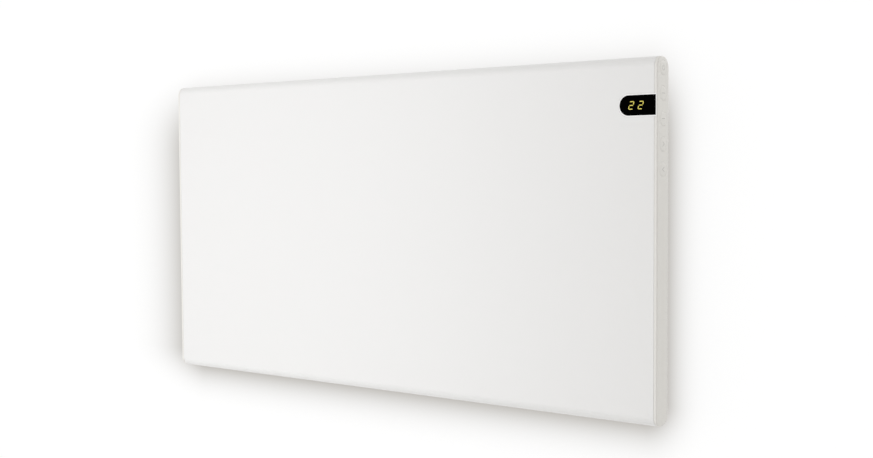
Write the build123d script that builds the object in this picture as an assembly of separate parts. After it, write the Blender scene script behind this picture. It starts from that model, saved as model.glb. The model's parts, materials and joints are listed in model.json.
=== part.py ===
from build123d import *
import math
import os

# A slim wall panel convector heater on its wall bracket, in millimetres.
# X runs to the right seen from the room, Y from the room towards the wall, Z up.
# The origin is on the wall, in the middle of the four wall screws.

# Front shell: one folded sheet, closed at its ends by moulded caps
shell_width = 700.0
shell_height = 370.0
shell_depth = 25.0
sheet = 1.0
front_top_radius = 11.0
rear_top_radius = 12.0
front_bottom_radius = 10.0
rear_bottom_radius = 10.0
rear_lip = 8.0

# End caps
cap_length = 3.4
cap_edge_radius = 1.4
cap_wall = 2.0
seam_gap = 0.25
spigot_length = 9.0
spigot_wall = 1.6
spigot_clearance = 0.15

# Keys in the right cap
key_count = 5
key_diameter = 14.4
key_gap = 0.25
key_pitch = 25.2
key_from_top = 11.5
key_proud = 0.3
key_edge_chamfer = 0.3
key_travel = 0.6
key_flange_diameter = 17.2
key_flange = 1.0
key_flange_gap = 0.1
key_stem_diameter = 5.0
key_stem_length = 2.0
switch_size = 6.0
switch_height = 2.2
switch_plunger_diameter = 3.2
switch_plunger_length = 0.6
switch_gap = 0.1
control_board_below = 12.0
control_board_above = 4.0
control_board_front = 8.0
control_board_back = 3.6

# Display lobe in the front, at the right edge
window_height = 20.3
window_length = 40.1
window_from_top = 48.35
window_thickness = 2.0
window_clearance = 0.1
bezel_rim = 1.4
bezel_end_rim = 0.8
bezel_from_cap_face = 1.1
bezel_flange = 3.0
bezel_thickness = 3.2
bezel_clearance = 0.1
digit_height = 8.4
digit_width = 5.6
digit_pitch = 10.45
digit_stroke = 1.0
digit_slant = 10.0
digit_from_left = 13.15
bar_gap = 0.25
bar_depth = 0.2
bar_from_window = 0.1
module_margin_x = 3.0
module_margin_z = 2.0
module_clearance = 0.2
module_from_window = 0.3
module_depth = 5.0
module_board_margin = 1.8

# Rear casing round the warm air duct
wall_gap = 24.0
casing_depth = 35.0
casing_inset_x = 39.0
casing_inset_z = 25.0
casing_flange = 8.0
casing_corner_radius = 4.0
sheet_bend = 1.6
recess_margin_x = 24.0
recess_margin_z = 45.0
recess_depth = 3.0
recess_radius = 14.0
slot_length = 88.0
slot_width = 4.6
slot_bridge = 12.0
slot_rows = 3
slot_row_pitch = 9.6

# Heating element
rod_diameter = 8.0
rod_spacing = 26.0
element_height_above_bottom = 72.0
rod_end_clearance = 40.0
fin_pitch = 20.0
fin_thickness = 0.8
fin_height = 52.0
fin_depth = 25.0
fin_corner = 3.0
fins_to_bracket = 9.0
fit_gap = 0.05
cold_pin_diameter = 4.0
cold_pin_length = 8.0
bushing_neck_diameter = 10.6
bushing_collar_diameter = 14.0
bushing_collar = 2.0
element_bracket_wall = 1.5
element_bracket_margin = 2.0
element_bracket_foot = 12.0
cutout_diameter = 16.0
cutout_height = 8.0
cutout_above_fins = 14.0
cutout_sink = 3.0
cutout_terminal_height = 10.0
cutout_terminal_width = 6.0
cutout_terminal_wall = 0.8
cutout_terminal_spacing = 8.0
cutout_bracket_width = 32.0
cutout_bracket_height = 44.0
cutout_bracket_wall = 1.2

# Wall bracket
screw_spacing_x = 400.0
screw_spacing_z = 240.0
screw_slot_width = 5.5
screw_slot_length = 9.0
bracket_wall = 1.5
bracket_bend = 2.0
upright_width = 30.0
upright_rise = 8.0
ear_reach = 20.0
ear_height = 38.0
ear_corner = 4.0
rail_height = 24.0
rail_rise = 9.0
rail_offset = 75.0
rivet_diameter = 4.0
rivet_head_diameter = 5.2
rivet_head_height = 1.4
rivet_head_top = 3.4

# Lower hinge and upper latches
pin_diameter = 6.0
pin_clearance = 0.05
pin_from_wall = 13.0
pin_above_casing_bottom = 10.0
pin_head_diameter = 9.0
pin_head_height = 2.0
pin_peen = 1.2
pin_peen_growth = 0.6
ear_radius = 7.5
hanger_wall = 3.0
hanger_base_wall = 1.5
hanger_base_width = 56.0
hanger_base_above_pin = 42.0
hanger_base_below_pin = 4.0
base_rivet_inset = 6.0
tail_length = 14.0
latch_below_casing_top = 30.0
latch_above = 20.0
latch_base_height = 30.0
latch_blade_height = 16.0
latch_blade_corner = 4.0
latch_reach = 16.0
clip_wall = 0.6
clip_gap = 0.4
clip_width = 12.0
clip_half_base = 6.5
clip_shoulder = 7.5
clip_waist = 15.0
clip_mouth = 19.0
clip_flare = 2.4
clip_bend = 1.2
pad_gap = 0.3
pad_width = 4.0
pad_inset = 10.0

# Boards, leads and small parts
board_thickness = 1.6
power_board_width = 90.0
power_board_height = 70.0
board_from_spigot = 12.0
board_above_bottom = 28.0
post_inset = 5.0
post_diameter = 6.0
post_pin_diameter = 3.0
post_pin_length = 2.0
standoff_height = 5.0
relay_size = (29.0, 12.0, 16.0)
relay_from_left = 66.4
relay_from_top = 22.0
capacitor_size = (26.0, 12.0, 12.0)
capacitor_from_left = 24.0
capacitor_from_top = 22.0
terminal_size = (30.0, 11.0, 12.0)
terminal_from_left = 56.0
terminal_from_bottom = 14.0
terminal_pitch = 9.0
terminal_mouth_diameter = 6.0
terminal_mouth_depth = 4.0
component_corner = 1.0
lead_diameter = 3.0
lead_gap = 0.6
lead_rise = 5.0
grommet_diameter = 14.0
grommet_lip = 1.5
grommet_wall = 3.0
grommet_from_pins = 22.0
grommet_above_rod = 34.0
cable_end_run = 18.0
cable_end_inset = 14.0
cable_bend_height = 100.0
gland_bore = 7.2
gland_diameter = 16.0
gland_collar = 5.0
gland_length = 14.0
gland_tip_diameter = 10.5
gland_thread_diameter = 12.0
gland_thread_length = 6.0
gland_nut_height = 4.0
gland_clearance = 2.0
gland_from_edge = 21.5
gland_above_bottom = 45.0
sensor_above_gland = 40.0
sensor_clip = (12.0, 5.0, 12.0)
sensor_diameter = 4.0
sensor_length = 18.0
earth_above_gland = 22.0
small_screw_diameter = 4.0
small_screw_length = 5.0
small_head_diameter = 7.5
small_head_top = 5.0
small_head_height = 2.2

# Planes and edges that follow from the sizes above
half_width = shell_width / 2
half_height = shell_height / 2
casing_back = -wall_gap
shell_back = casing_back - casing_depth
shell_front = shell_back - shell_depth
shell_middle = (shell_front + shell_back) / 2
seam_x = half_width - cap_length
panel_half = seam_x - seam_gap
shield_front = shell_back - 2 * sheet
shield_back = shell_back - sheet
spigot_inner_x = seam_x - spigot_length
casing_side_x = half_width - casing_inset_x
casing_top = half_height - casing_inset_z
casing_bottom = -casing_top
duct_middle = (shield_back + casing_back - sheet - recess_depth) / 2
key_z = [half_height - key_from_top - key_pitch * place for place in range(key_count)]
window_z = half_height - window_from_top
bezel_right = half_width - bezel_from_cap_face
window_right = bezel_right - bezel_end_rim
window_left = window_right - window_length
pin_y = -pin_from_wall
pin_z = casing_bottom + pin_above_casing_bottom
bracket_x = screw_spacing_x / 2
rivet_y = rivet_head_diameter / 2 - upright_rise
latch_z = casing_top - latch_below_casing_top
upright_top = latch_z + latch_above
upright_bottom = pin_z - tail_length - 2 * bracket_wall
element_z = casing_bottom + element_height_above_bottom
rod_heights = (element_z - rod_spacing / 2, element_z + rod_spacing / 2)
rod_right = casing_side_x - rod_end_clearance
rod_left = -rod_right - rod_spacing / 2
element_bracket_x = rod_right - 2 * bushing_collar - element_bracket_wall
lip_upper_z = half_height - rear_top_radius - rear_lip
lip_lower_z = -half_height + rear_bottom_radius + rear_lip


foot_down = (Align.CENTER, Align.CENTER, Align.MIN)


def along_x(section, low, high):
    """Pull a section drawn in Y and Z from one X to another."""
    return extrude(Plane.YZ.offset(low) * section, amount=high - low)


def along_y(section, low, high):
    """Pull a section drawn in X and Z from one Y to another."""
    return extrude(Plane.XZ.offset(-low) * section, amount=low - high)


def along_z(section, low, high):
    """Pull a section drawn in X and Y from one Z to another."""
    return extrude(Plane.XY.offset(low) * section, amount=high - low)


def block(x, y, z):
    """A block between a low and a high value on each axis."""
    size = [high - low for low, high in (x, y, z)]
    middle = [(high + low) / 2 for low, high in (x, y, z)]
    return Pos(*middle) * Box(*size)


def rectangle(low_u, high_u, low_v, high_v):
    """A flat rectangle between two values on each of its axes."""
    middle = Pos((low_u + high_u) / 2, (low_v + high_v) / 2)
    return middle * Rectangle(high_u - low_u, high_v - low_v)


def folded(points, wall, radius):
    """Section of a thin strip bent along points, with round bends."""
    return trace(FilletPolyline(*points, radius=radius), wall)


def write(name, *pieces):
    """Write the solids of one sub-part to its STEP file."""
    solids = [solid for piece in pieces for solid in piece.solids()]
    whole = solids[0] if len(solids) == 1 else Compound(children=solids)
    export_step(whole, f"parts/{name}.step")


def both_sides(piece):
    """A right-hand piece and its mirror image on the left."""
    return [piece, mirror(piece, about=Plane.YZ)]


# ---------------------------------------------------------------- front shell


def shell_outline(inset=0.0):
    """Side outline of the shell: a slim upright slab with rounded edges."""
    face = Rectangle(shell_depth - 2 * inset, shell_height - 2 * inset)
    corners = [
        (-1, 1, front_top_radius),
        (1, 1, rear_top_radius),
        (-1, -1, front_bottom_radius),
        (1, -1, rear_bottom_radius),
    ]
    for toward_y, toward_z, radius in corners:
        spot = Vector(toward_y * shell_depth / 2, toward_z * shell_height / 2)
        corner = sorted(face.vertices(), key=lambda v: (Vector(v) - spot).length)[0]
        face = fillet(corner, radius - inset)
    return Pos(shell_middle, 0) * face


def lobe(grow, right):
    """Outline of the display lobe, grown all round, running to one X."""
    radius = window_height / 2 + grow
    centre = window_left + window_height / 2
    round_end = Pos(centre, window_z) * Circle(radius)
    return round_end + rectangle(centre, right, window_z - radius, window_z + radius)


def front_panel():
    """Folded sheet: flat front, rolled top and bottom, lips at the back."""
    back = rectangle(shield_back - sheet / 2, shell_back + 1, lip_lower_z, lip_upper_z)
    skin = along_x(shell_outline() - shell_outline(sheet) - back, -panel_half, panel_half)
    notch = lobe(bezel_rim + bezel_clearance, half_width)
    skin -= along_y(notch, shell_front - 1, shell_front + 2 * sheet)
    for x, z in lip_screw_places() + cap_screw_places():
        skin -= hole_y(small_screw_diameter / 2 + fit_gap, x, z, shell_back)
    return skin


def hole_y(radius, x, z, y):
    """A short cutter along Y for a round hole in a sheet near one Y."""
    return along_y(Pos(x, z) * Circle(radius), y - 2 * sheet - 1, y + 1)


def lip_screw_places():
    """Screws that hold the heat shield to the panel's rear lips."""
    heights = (lip_upper_z + rear_lip / 2, lip_lower_z - rear_lip / 2)
    step = casing_side_x / 1.5
    return [(step * (place - 1.5), z) for place in range(4) for z in heights]


def cap_screw_places():
    """Screws that hold the end caps behind the panel's rear lips."""
    heights = (lip_upper_z + rear_lip / 2, lip_lower_z - rear_lip / 2)
    x = seam_x - spigot_length / 2
    return [(side * x, z) for side in (-1, 1) for z in heights]


def plain_cap():
    """Moulded cap of the right end: rounded plate, spigot and two bosses."""
    plate = along_x(shell_outline(), seam_x, half_width)
    rim = plate.edges().filter_by_position(Axis.X, half_width - 0.01, half_width + 0.01)
    plate = fillet(rim, cap_edge_radius)
    inset = sheet + spigot_clearance
    spigot = along_x(shell_outline(inset), spigot_inner_x, seam_x)
    hollow = shell_outline(inset + spigot_wall)
    cap = plate + spigot - along_x(hollow, spigot_inner_x, half_width - cap_wall)
    for x, z in cap_screw_places()[2:]:
        boss = Pos(x, z) * Circle(small_screw_diameter / 2 + spigot_wall)
        pilot = Pos(x, z) * Circle(small_screw_diameter / 2)
        cap += along_y(boss, shell_back - small_screw_length - spigot_wall, shield_front)
        cap -= along_y(pilot, shell_back - small_screw_length, shell_back)
    return cap


def right_end_cap():
    """Cap with five key holes and the notch that the display sits in."""
    cap = plain_cap()
    for z in key_z:
        hole = Pos(shell_middle, z) * Circle(key_diameter / 2 + key_gap)
        cap -= along_x(hole, half_width - cap_wall - 1, half_width + 1)
    reach = window_height / 2 + bezel_rim + bezel_clearance
    seat = rectangle(seam_x - 1, bezel_right + bezel_clearance, window_z - reach, window_z + reach)
    cap -= along_y(seat, shell_front - 1, shell_front + bezel_thickness)
    reach += bezel_flange
    back_seat = rectangle(spigot_inner_x - 1, seam_x, window_z - reach, window_z + reach)
    cap -= along_y(back_seat, shell_front, shell_front + bezel_thickness + 1)
    return cap


# ---------------------------------------------------------------- display


def display_bezel():
    """Frame in the panel's notch, with a pocket and a flange behind the sheet."""
    body = along_y(lobe(bezel_rim, bezel_right), shell_front, shell_front + bezel_thickness)
    flange = lobe(bezel_rim + bezel_flange, seam_x - 0.3)
    flange_front = shell_front + sheet + bezel_clearance
    body += along_y(flange, flange_front, shell_front + bezel_thickness)
    pocket = lobe(window_clearance, window_right + window_clearance)
    body -= along_y(pocket, shell_front - 1, shell_front + window_thickness)
    module_hole = module_outline(module_clearance)
    return body - along_y(module_hole, shell_front, shell_front + bezel_thickness + 1)


def display_window():
    """Flat dark window with a round left end and a square right end."""
    return along_y(lobe(0, window_right), shell_front, shell_front + window_thickness)


def module_outline(grow):
    """Outline of the two-digit light module behind the window."""
    left = window_left + digit_from_left - digit_width / 2 - module_margin_x
    right = left + digit_pitch + digit_width + 2 * module_margin_x
    reach = digit_height / 2 + module_margin_z + grow
    return rectangle(left - grow, right + grow, window_z - reach, window_z + reach)


def display_module():
    """Light module with its pins, on its own small board."""
    face_y = shell_front + window_thickness + module_from_window
    back_y = face_y + module_depth
    body = along_y(module_outline(0), face_y, back_y)
    return body + along_y(module_outline(module_board_margin), back_y, back_y + board_thickness)


def digit_two(left):
    """Lit bars of a seven segment figure two, leaning to the right."""
    low_y = shell_front + window_thickness + bar_from_window
    top = digit_height / 2
    lean = math.tan(math.radians(digit_slant))
    half = digit_stroke / 2
    middle = left + digit_width / 2
    across = digit_width / 2 - bar_gap - half
    side = digit_width / 2 - half
    bars = []
    for level in (-1, 0, 1):
        z = level * (top - half)
        x = middle + z * lean
        bars.append(rectangle(x - across, x + across, z - half, z + half))
    for turn, low, high in ((side, 0, top), (-side, -top, 0)):
        low, high = low + bar_gap + half / 2, high - bar_gap - half / 2
        ends = [(middle + turn + z * lean, z) for z in (low, high)]
        left_edge = [(x - half, z) for x, z in ends]
        right_edge = [(x + half, z) for x, z in reversed(ends)]
        bars.append(make_face(Polyline(*left_edge, *right_edge, close=True)))
    return [along_y(Pos(0, window_z) * bar, low_y, low_y + bar_depth) for bar in bars]


def display_segments():
    """The lit bars of both figures."""
    first = window_left + digit_from_left - digit_width / 2
    return digit_two(first) + digit_two(first + digit_pitch)


# ---------------------------------------------------------------- keys

key_inner_x = half_width - cap_wall - key_flange_gap
stem_end_x = key_inner_x - key_flange - key_stem_length
plunger_x = stem_end_x - key_travel - switch_gap
control_board_x = plunger_x - switch_plunger_length - switch_height


def key(z):
    """Round key with a retaining flange behind the cap and a stem to its switch."""
    cap = along_x(Pos(shell_middle, z) * Circle(key_diameter / 2), key_inner_x, half_width + key_proud)
    edge = cap.edges().filter_by_position(Axis.X, half_width, half_width + 2 * key_proud)
    cap = chamfer(edge, key_edge_chamfer)
    flange = Pos(shell_middle, z) * Circle(key_flange_diameter / 2)
    cap += along_x(flange, key_inner_x - key_flange, key_inner_x)
    stem = Pos(shell_middle, z) * Circle(key_stem_diameter / 2)
    return cap + along_x(stem, stem_end_x, key_inner_x - key_flange)


def control_board():
    """Upright board behind the keys."""
    low, high = key_z[-1] - control_board_below, key_z[0] + control_board_above
    front, back = shell_middle - control_board_front, shell_middle + control_board_back
    face = rectangle(front, back, low, high)
    return along_x(face, control_board_x - board_thickness, control_board_x)


def tact_switches():
    """Five small switches with round plungers, one behind each key."""
    switches = []
    for z in key_z:
        body = Pos(shell_middle, z) * Rectangle(switch_size, switch_size)
        switch = along_x(body, control_board_x, control_board_x + switch_height)
        plunger = Pos(shell_middle, z) * Circle(switch_plunger_diameter / 2)
        switch += along_x(plunger, control_board_x + switch_height, plunger_x)
        switches.append(switch)
    return switches


# ---------------------------------------------------------------- rear casing


def heat_shield():
    """Inner sheet that closes the shell and carries the warm air duct."""
    side = spigot_inner_x - seam_gap
    upper = half_height - rear_top_radius
    lower = -half_height + rear_bottom_radius
    plate = along_y(rectangle(-side, side, lower, upper), shield_front, shield_back)
    x, z = gland_place()
    plate -= hole_y(gland_thread_diameter / 2 + fit_gap, x, z, shell_back)
    x, z = grommet_place()
    plate -= hole_y(grommet_diameter / 2, x, z, shell_back)
    for x, z in lip_screw_places() + [earth_screw_place()]:
        plate -= hole_y(small_screw_diameter / 2 + fit_gap, x, z, shell_back)
    return plate


def slots():
    """Rows of long slots with round ends, drawn in X and the depth of the duct."""
    pitch = slot_length + slot_bridge
    columns = int((2 * casing_side_x - 2 * casing_flange) / pitch)
    places = GridLocations(pitch, slot_row_pitch, columns, slot_rows)
    return Sketch() + places * SlotOverall(slot_length, slot_width)


def grille(face_z, turn):
    """Slotted strip that closes the duct, with both long edges folded inwards."""
    front, back = shield_back, casing_back - sheet
    inner = face_z - turn * casing_flange
    points = [
        (front + sheet / 2, inner),
        (front + sheet / 2, face_z - turn * sheet / 2),
        (back - sheet / 2, face_z - turn * sheet / 2),
        (back - sheet / 2, inner),
    ]
    reach = casing_side_x - sheet
    strip = along_x(folded(points, sheet, sheet_bend), -reach, reach)
    cutter = Pos(0, (front + back) / 2) * slots()
    return strip - along_z(cutter, face_z - 2 * sheet, face_z + 2 * sheet)


def casing_side():
    """Folded side of the duct: one lip on the heat shield, one under the rear panel."""
    points = [
        (casing_side_x + casing_flange, shield_back + sheet / 2),
        (casing_side_x - sheet / 2, shield_back + sheet / 2),
        (casing_side_x - sheet / 2, casing_back - 1.5 * sheet),
        (casing_side_x - casing_flange, casing_back - 1.5 * sheet),
    ]
    inside = casing_flange + sheet
    plate = along_z(folded(points, sheet, sheet_bend), casing_bottom, casing_top)
    for end in (-1, 1):
        z = sorted((end * casing_top, end * (casing_top - inside)))
        edge = (casing_side_x - casing_flange - 1, casing_side_x - sheet)
        plate -= block(edge, (shield_back - 1, casing_back), z)
    for x, z in casing_screw_places()[3:]:
        plate -= hole_y(small_screw_diameter / 2 + fit_gap, x, z, casing_back - sheet)
    return plate


def rear_panel():
    """Pressed back sheet with a shallow recess that stiffens it."""
    plate = rectangle(-casing_side_x, casing_side_x, casing_bottom, casing_top)
    plate = fillet(plate.vertices(), casing_corner_radius)
    panel = along_y(plate, casing_back - sheet, casing_back)
    recess_width = screw_spacing_x - hanger_base_width - recess_margin_x
    recess_height = 2 * (casing_top - recess_margin_z)
    outer = RectangleRounded(recess_width, recess_height, recess_radius)
    inner = offset(outer, -sheet)
    panel += along_y(outer, casing_back - sheet - recess_depth, casing_back - sheet)
    panel -= along_y(inner, casing_back - recess_depth, casing_back + 1)
    for x, z in hanger_rivet_places() + casing_screw_places():
        panel -= hole_y(rivet_diameter / 2 + fit_gap, x, z, casing_back)
    return panel


def casing_screw_places():
    """Screws round the edge of the rear panel, into the duct's sides."""
    x = casing_side_x - (casing_flange + sheet) / 2
    rise = (casing_top - casing_bottom) / 3
    return [(side * x, rise * (place - 1)) for side in (-1, 1) for place in range(3)]


def screw(x, z, seat):
    """Screw driven towards the room, with its tapered head behind the sheet."""
    place = Pos(x, z)
    shank = along_y(place * Circle(small_screw_diameter / 2), seat - small_screw_length, seat)
    return shank + head_y(x, z, seat, small_head_height, small_head_diameter, small_head_top)


def head_y(x, z, seat, height, wide, narrow):
    """Tapered round head that stands on a sheet, towards the wall where height is positive."""
    out = Plane((x, seat, z), z_dir=(0, math.copysign(1, height), 0))
    return out * Cone(wide / 2, narrow / 2, abs(height), align=foot_down)


# ---------------------------------------------------------------- heating element


def heating_rod():
    """Sheathed hairpin rod with its two cold pins at the right."""
    low, high = rod_heights
    bend = rod_spacing / 2
    path = Line((rod_right, duct_middle, high), (rod_left + bend, duct_middle, high))
    path += ThreePointArc(
        (rod_left + bend, duct_middle, high),
        (rod_left, duct_middle, element_z),
        (rod_left + bend, duct_middle, low),
    )
    path += Line((rod_left + bend, duct_middle, low), (rod_right, duct_middle, low))
    start = Plane((rod_right, duct_middle, high), x_dir=(0, 1, 0), z_dir=(-1, 0, 0))
    rod = sweep(start * Circle(rod_diameter / 2), path=path)
    for z in (low, high):
        pin = Pos(duct_middle, z) * Circle(cold_pin_diameter / 2)
        rod += along_x(pin, rod_right, rod_right + cold_pin_length)
    return rod


def element_fins():
    """Thin upright fins pressed on both passes of the rod."""
    plate = Rectangle(fin_depth, fin_height)
    plate = Pos(duct_middle, element_z) * chamfer(plate.vertices(), fin_corner)
    for z in rod_heights:
        plate -= Pos(duct_middle, z) * Circle(rod_diameter / 2 + fit_gap)
    fin_count = int(2 * (element_bracket_x - element_bracket_foot - fins_to_bracket) / fin_pitch)
    fins = []
    for place in range(fin_count):
        x = (place - (fin_count - 1) / 2) * fin_pitch
        fins.append(along_x(plate, x - fin_thickness / 2, x + fin_thickness / 2))
    return fins


def element_bracket():
    """Folded plate that carries the right end of the element."""
    half = fin_height / 2 + element_bracket_margin
    wall = element_bracket_wall
    z = (element_z - half, element_z + half)
    face = rectangle(shield_back, duct_middle + fin_depth / 2, *z)
    for height in rod_heights:
        face -= Pos(duct_middle, height) * Circle(bushing_neck_diameter / 2 + fit_gap)
    plate = along_x(face, element_bracket_x, element_bracket_x + wall)
    foot = (element_bracket_x - element_bracket_foot, element_bracket_x + wall)
    return plate + block(foot, (shield_back, shield_back + wall), z)


def element_bushings():
    """Ceramic bushes that hold the rod in its two brackets."""
    rings = []
    low = element_bracket_x - bushing_collar
    high = element_bracket_x + element_bracket_wall + bushing_collar
    for z in rod_heights:
        place = Pos(duct_middle, z)
        bore = place * Circle(rod_diameter / 2 + fit_gap)
        neck = place * Circle(bushing_neck_diameter / 2) - bore
        collar = place * Circle(bushing_collar_diameter / 2) - bore
        ring = along_x(neck, low, high)
        rings.append(ring + along_x(collar, high - bushing_collar, high))
    return [side for ring in rings for side in both_sides(ring)]


def cutout_bracket():
    """Small folded foot that holds the thermal cutout over the element."""
    low = element_z + fin_height / 2 + cutout_above_fins
    wall = cutout_bracket_wall
    x = (-cutout_bracket_width / 2, cutout_bracket_width / 2)
    foot = block(x, (shield_back, shield_back + wall), (low, low + cutout_bracket_height))
    shelf = block(x, (shield_back, duct_middle + cutout_diameter / 2 + wall), (low, low + wall))
    bore = Pos(0, duct_middle) * Circle(cutout_diameter / 2 - 1 + fit_gap)
    return foot + shelf - along_z(bore, low - wall, low + 2 * wall)


def thermal_cutout():
    """Disc-shaped safety cutout with two flat terminals."""
    low = element_z + fin_height / 2 + cutout_above_fins + cutout_bracket_wall
    top = low + cutout_height
    place = Pos(0, duct_middle)
    cutout = along_z(place * Circle(cutout_diameter / 2 - 1), low - cutout_sink, low)
    cutout += along_z(place * Circle(cutout_diameter / 2), low, top)
    half = cutout_terminal_wall / 2
    y = (duct_middle - cutout_terminal_width / 2, duct_middle + cutout_terminal_width / 2)
    for x in (-cutout_terminal_spacing / 2, cutout_terminal_spacing / 2):
        cutout += block((x - half, x + half), y, (top, top + cutout_terminal_height))
    return cutout


# ---------------------------------------------------------------- boards and leads

board_right = spigot_inner_x - board_from_spigot
board_left = board_right - power_board_width
board_low = -half_height + board_above_bottom
board_high = board_low + power_board_height
board_back = shield_front - standoff_height
board_front = board_back - board_thickness


def board_corners():
    """Places of the four posts of the power board."""
    xs = (board_left + post_inset, board_right - post_inset)
    zs = (board_low + post_inset, board_high - post_inset)
    return [(x, z) for x in xs for z in zs]


def power_board():
    """Mains board between the front sheet and the heat shield."""
    face = rectangle(board_left, board_right, board_low, board_high)
    for x, z in board_corners():
        face -= Pos(x, z) * Circle(post_pin_diameter / 2 + fit_gap)
    x, z = gland_place()
    face -= Pos(x, z) * Circle(gland_diameter / 2 + gland_clearance)
    return along_y(face, board_front, board_back)


def board_standoffs():
    """Four posts that hold the power board off the heat shield."""
    posts = []
    for x, z in board_corners():
        post = along_y(Pos(x, z) * Circle(post_diameter / 2), board_back, shield_front)
        pin = Pos(x, z) * Circle(post_pin_diameter / 2)
        posts.append(post + along_y(pin, board_front - post_pin_length, board_back))
    return posts


def on_board(x, z, size):
    """A component with eased edges that stands on the room side of the power board."""
    width, rise, height = size
    body = along_y(Pos(x, z) * Rectangle(width, height), board_front - rise, board_front)
    return chamfer(body.edges().group_by(Axis.Y)[0], component_corner)


def relay_place():
    """Middle of the relay on the power board."""
    return board_left + relay_from_left, board_high - relay_from_top


def relay():
    """Relay that switches the heating element."""
    return on_board(*relay_place(), relay_size)


def film_capacitor():
    """Mains filter capacitor."""
    place = board_left + capacitor_from_left, board_high - capacitor_from_top
    return on_board(*place, capacitor_size)


def terminal_block():
    """Three way screw terminal for the mains lead."""
    x, z = board_left + terminal_from_left, board_low + terminal_from_bottom
    body = on_board(x, z, terminal_size)
    front = board_front - terminal_size[1]
    for step in (-terminal_pitch, 0, terminal_pitch):
        mouth = Pos(x + step, z) * Circle(terminal_mouth_diameter / 2)
        body -= along_y(mouth, front - 1, front + terminal_mouth_depth)
    return body


def gland_place():
    """Where the mains lead enters, beside the duct."""
    return half_width - gland_from_edge, -half_height + gland_above_bottom


def cable_gland():
    """Gland through the heat shield, open for the mains lead."""
    x, z = gland_place()
    place = Pos(x, z)
    collar_back = shell_back + gland_collar
    collar = along_y(place * RegularPolygon(gland_diameter / 2, 6), shield_back, collar_back)
    dome_height = gland_length - gland_collar
    dome_width = gland_diameter * math.cos(math.pi / 6)
    dome = head_y(x, z, collar_back, dome_height, dome_width, gland_tip_diameter)
    thread = place * Circle(gland_thread_diameter / 2)
    thread = along_y(thread, shield_front - gland_thread_length, shield_back)
    bore = place * Circle(gland_bore / 2)
    bore = along_y(bore, shield_front - gland_thread_length - 1, shell_back + gland_length + 1)
    return collar + dome + thread - bore


def gland_nut():
    """Flat nut that clamps the gland from inside."""
    place = Pos(*gland_place())
    face = place * RegularPolygon(gland_diameter / 2, 6)
    face -= place * Circle(gland_thread_diameter / 2 + fit_gap)
    return along_y(face, shield_front - gland_nut_height, shield_front)


def grommet_place():
    """Where the leads pass the heat shield, beside the element's cold pins."""
    return rod_right + cold_pin_length + grommet_from_pins, rod_heights[1] + grommet_above_rod


def wire_grommet():
    """Rubber ring in the heat shield round the element's leads."""
    place = Pos(*grommet_place())
    outer = grommet_diameter / 2
    bore = place * Circle(outer - grommet_wall)
    neck = place * Circle(outer - fit_gap) - bore
    lip = place * Circle(outer + grommet_lip) - bore
    ring = along_y(neck, shield_front - grommet_lip, shield_back + grommet_lip)
    for low in (shield_front - grommet_lip, shield_back):
        ring += along_y(lip, low, low + grommet_lip)
    return ring


def lead(points, diameter):
    """Insulated lead along points, with the largest bends that its runs allow."""
    radii = []
    for before, corner, after in zip(points, points[1:], points[2:]):
        arriving = Vector(*corner) - Vector(*before)
        leaving = Vector(*after) - Vector(*corner)
        half_turn = math.radians(arriving.get_angle(leaving)) / 2
        radii.append(0.45 * min(arriving.length, leaving.length) / math.tan(half_turn))
    path = FilletPolyline(*points, radius=radii)
    start = Plane(origin=points[0], z_dir=Vector(*points[1]) - Vector(*points[0]))
    return sweep(start * Circle(diameter / 2), path=path)


def element_leads():
    """Two leads from the rod's cold pins through the grommet down to the relay."""
    hole_x, hole_z = grommet_place()
    relay_top = relay_place()[1] + relay_size[2] / 2
    step = (lead_diameter + lead_gap) / 2
    leads = []
    for x, pin_z_value in ((hole_x + step, rod_heights[0]), (hole_x - step, rod_heights[1])):
        points = [
            (rod_right + cold_pin_length, duct_middle, pin_z_value),
            (x, duct_middle, pin_z_value),
            (x, duct_middle, hole_z),
            (x, board_front - lead_rise, hole_z),
            (x, board_front - lead_rise, relay_top),
        ]
        leads.append(lead(points, lead_diameter))
    return leads


def control_cable():
    """Low voltage cable from the power board up to the control board."""
    end_x = control_board_x - board_thickness
    end_z = key_z[-1] - key_stem_diameter
    bend_z = board_high + cable_bend_height
    points = [
        (board_right - cable_end_inset, board_front - 2, board_high - post_inset),
        (end_x - cable_end_run, shell_middle, bend_z),
        (end_x - cable_end_run, shell_middle, end_z),
        (end_x, shell_middle, end_z),
    ]
    return lead(points, lead_diameter)


def room_sensor():
    """Bead sensor in its clip behind the right edge."""
    x, z = gland_place()
    low = z + sensor_above_gland
    width, depth, height = sensor_clip
    clip_x = (x - width / 2, x + width / 2)
    clip = block(clip_x, (shield_back, shield_back + depth), (low, low + height))
    bead = Pos(x, shield_back + depth) * Circle(sensor_diameter / 2)
    middle = low + height / 2
    return clip + along_z(bead, middle - sensor_length / 2, middle + sensor_length / 2)


def earth_screw_place():
    """Where the earth screw sits, above the gland."""
    x, z = gland_place()
    return x, z + earth_above_gland


# ---------------------------------------------------------------- wall bracket


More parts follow.
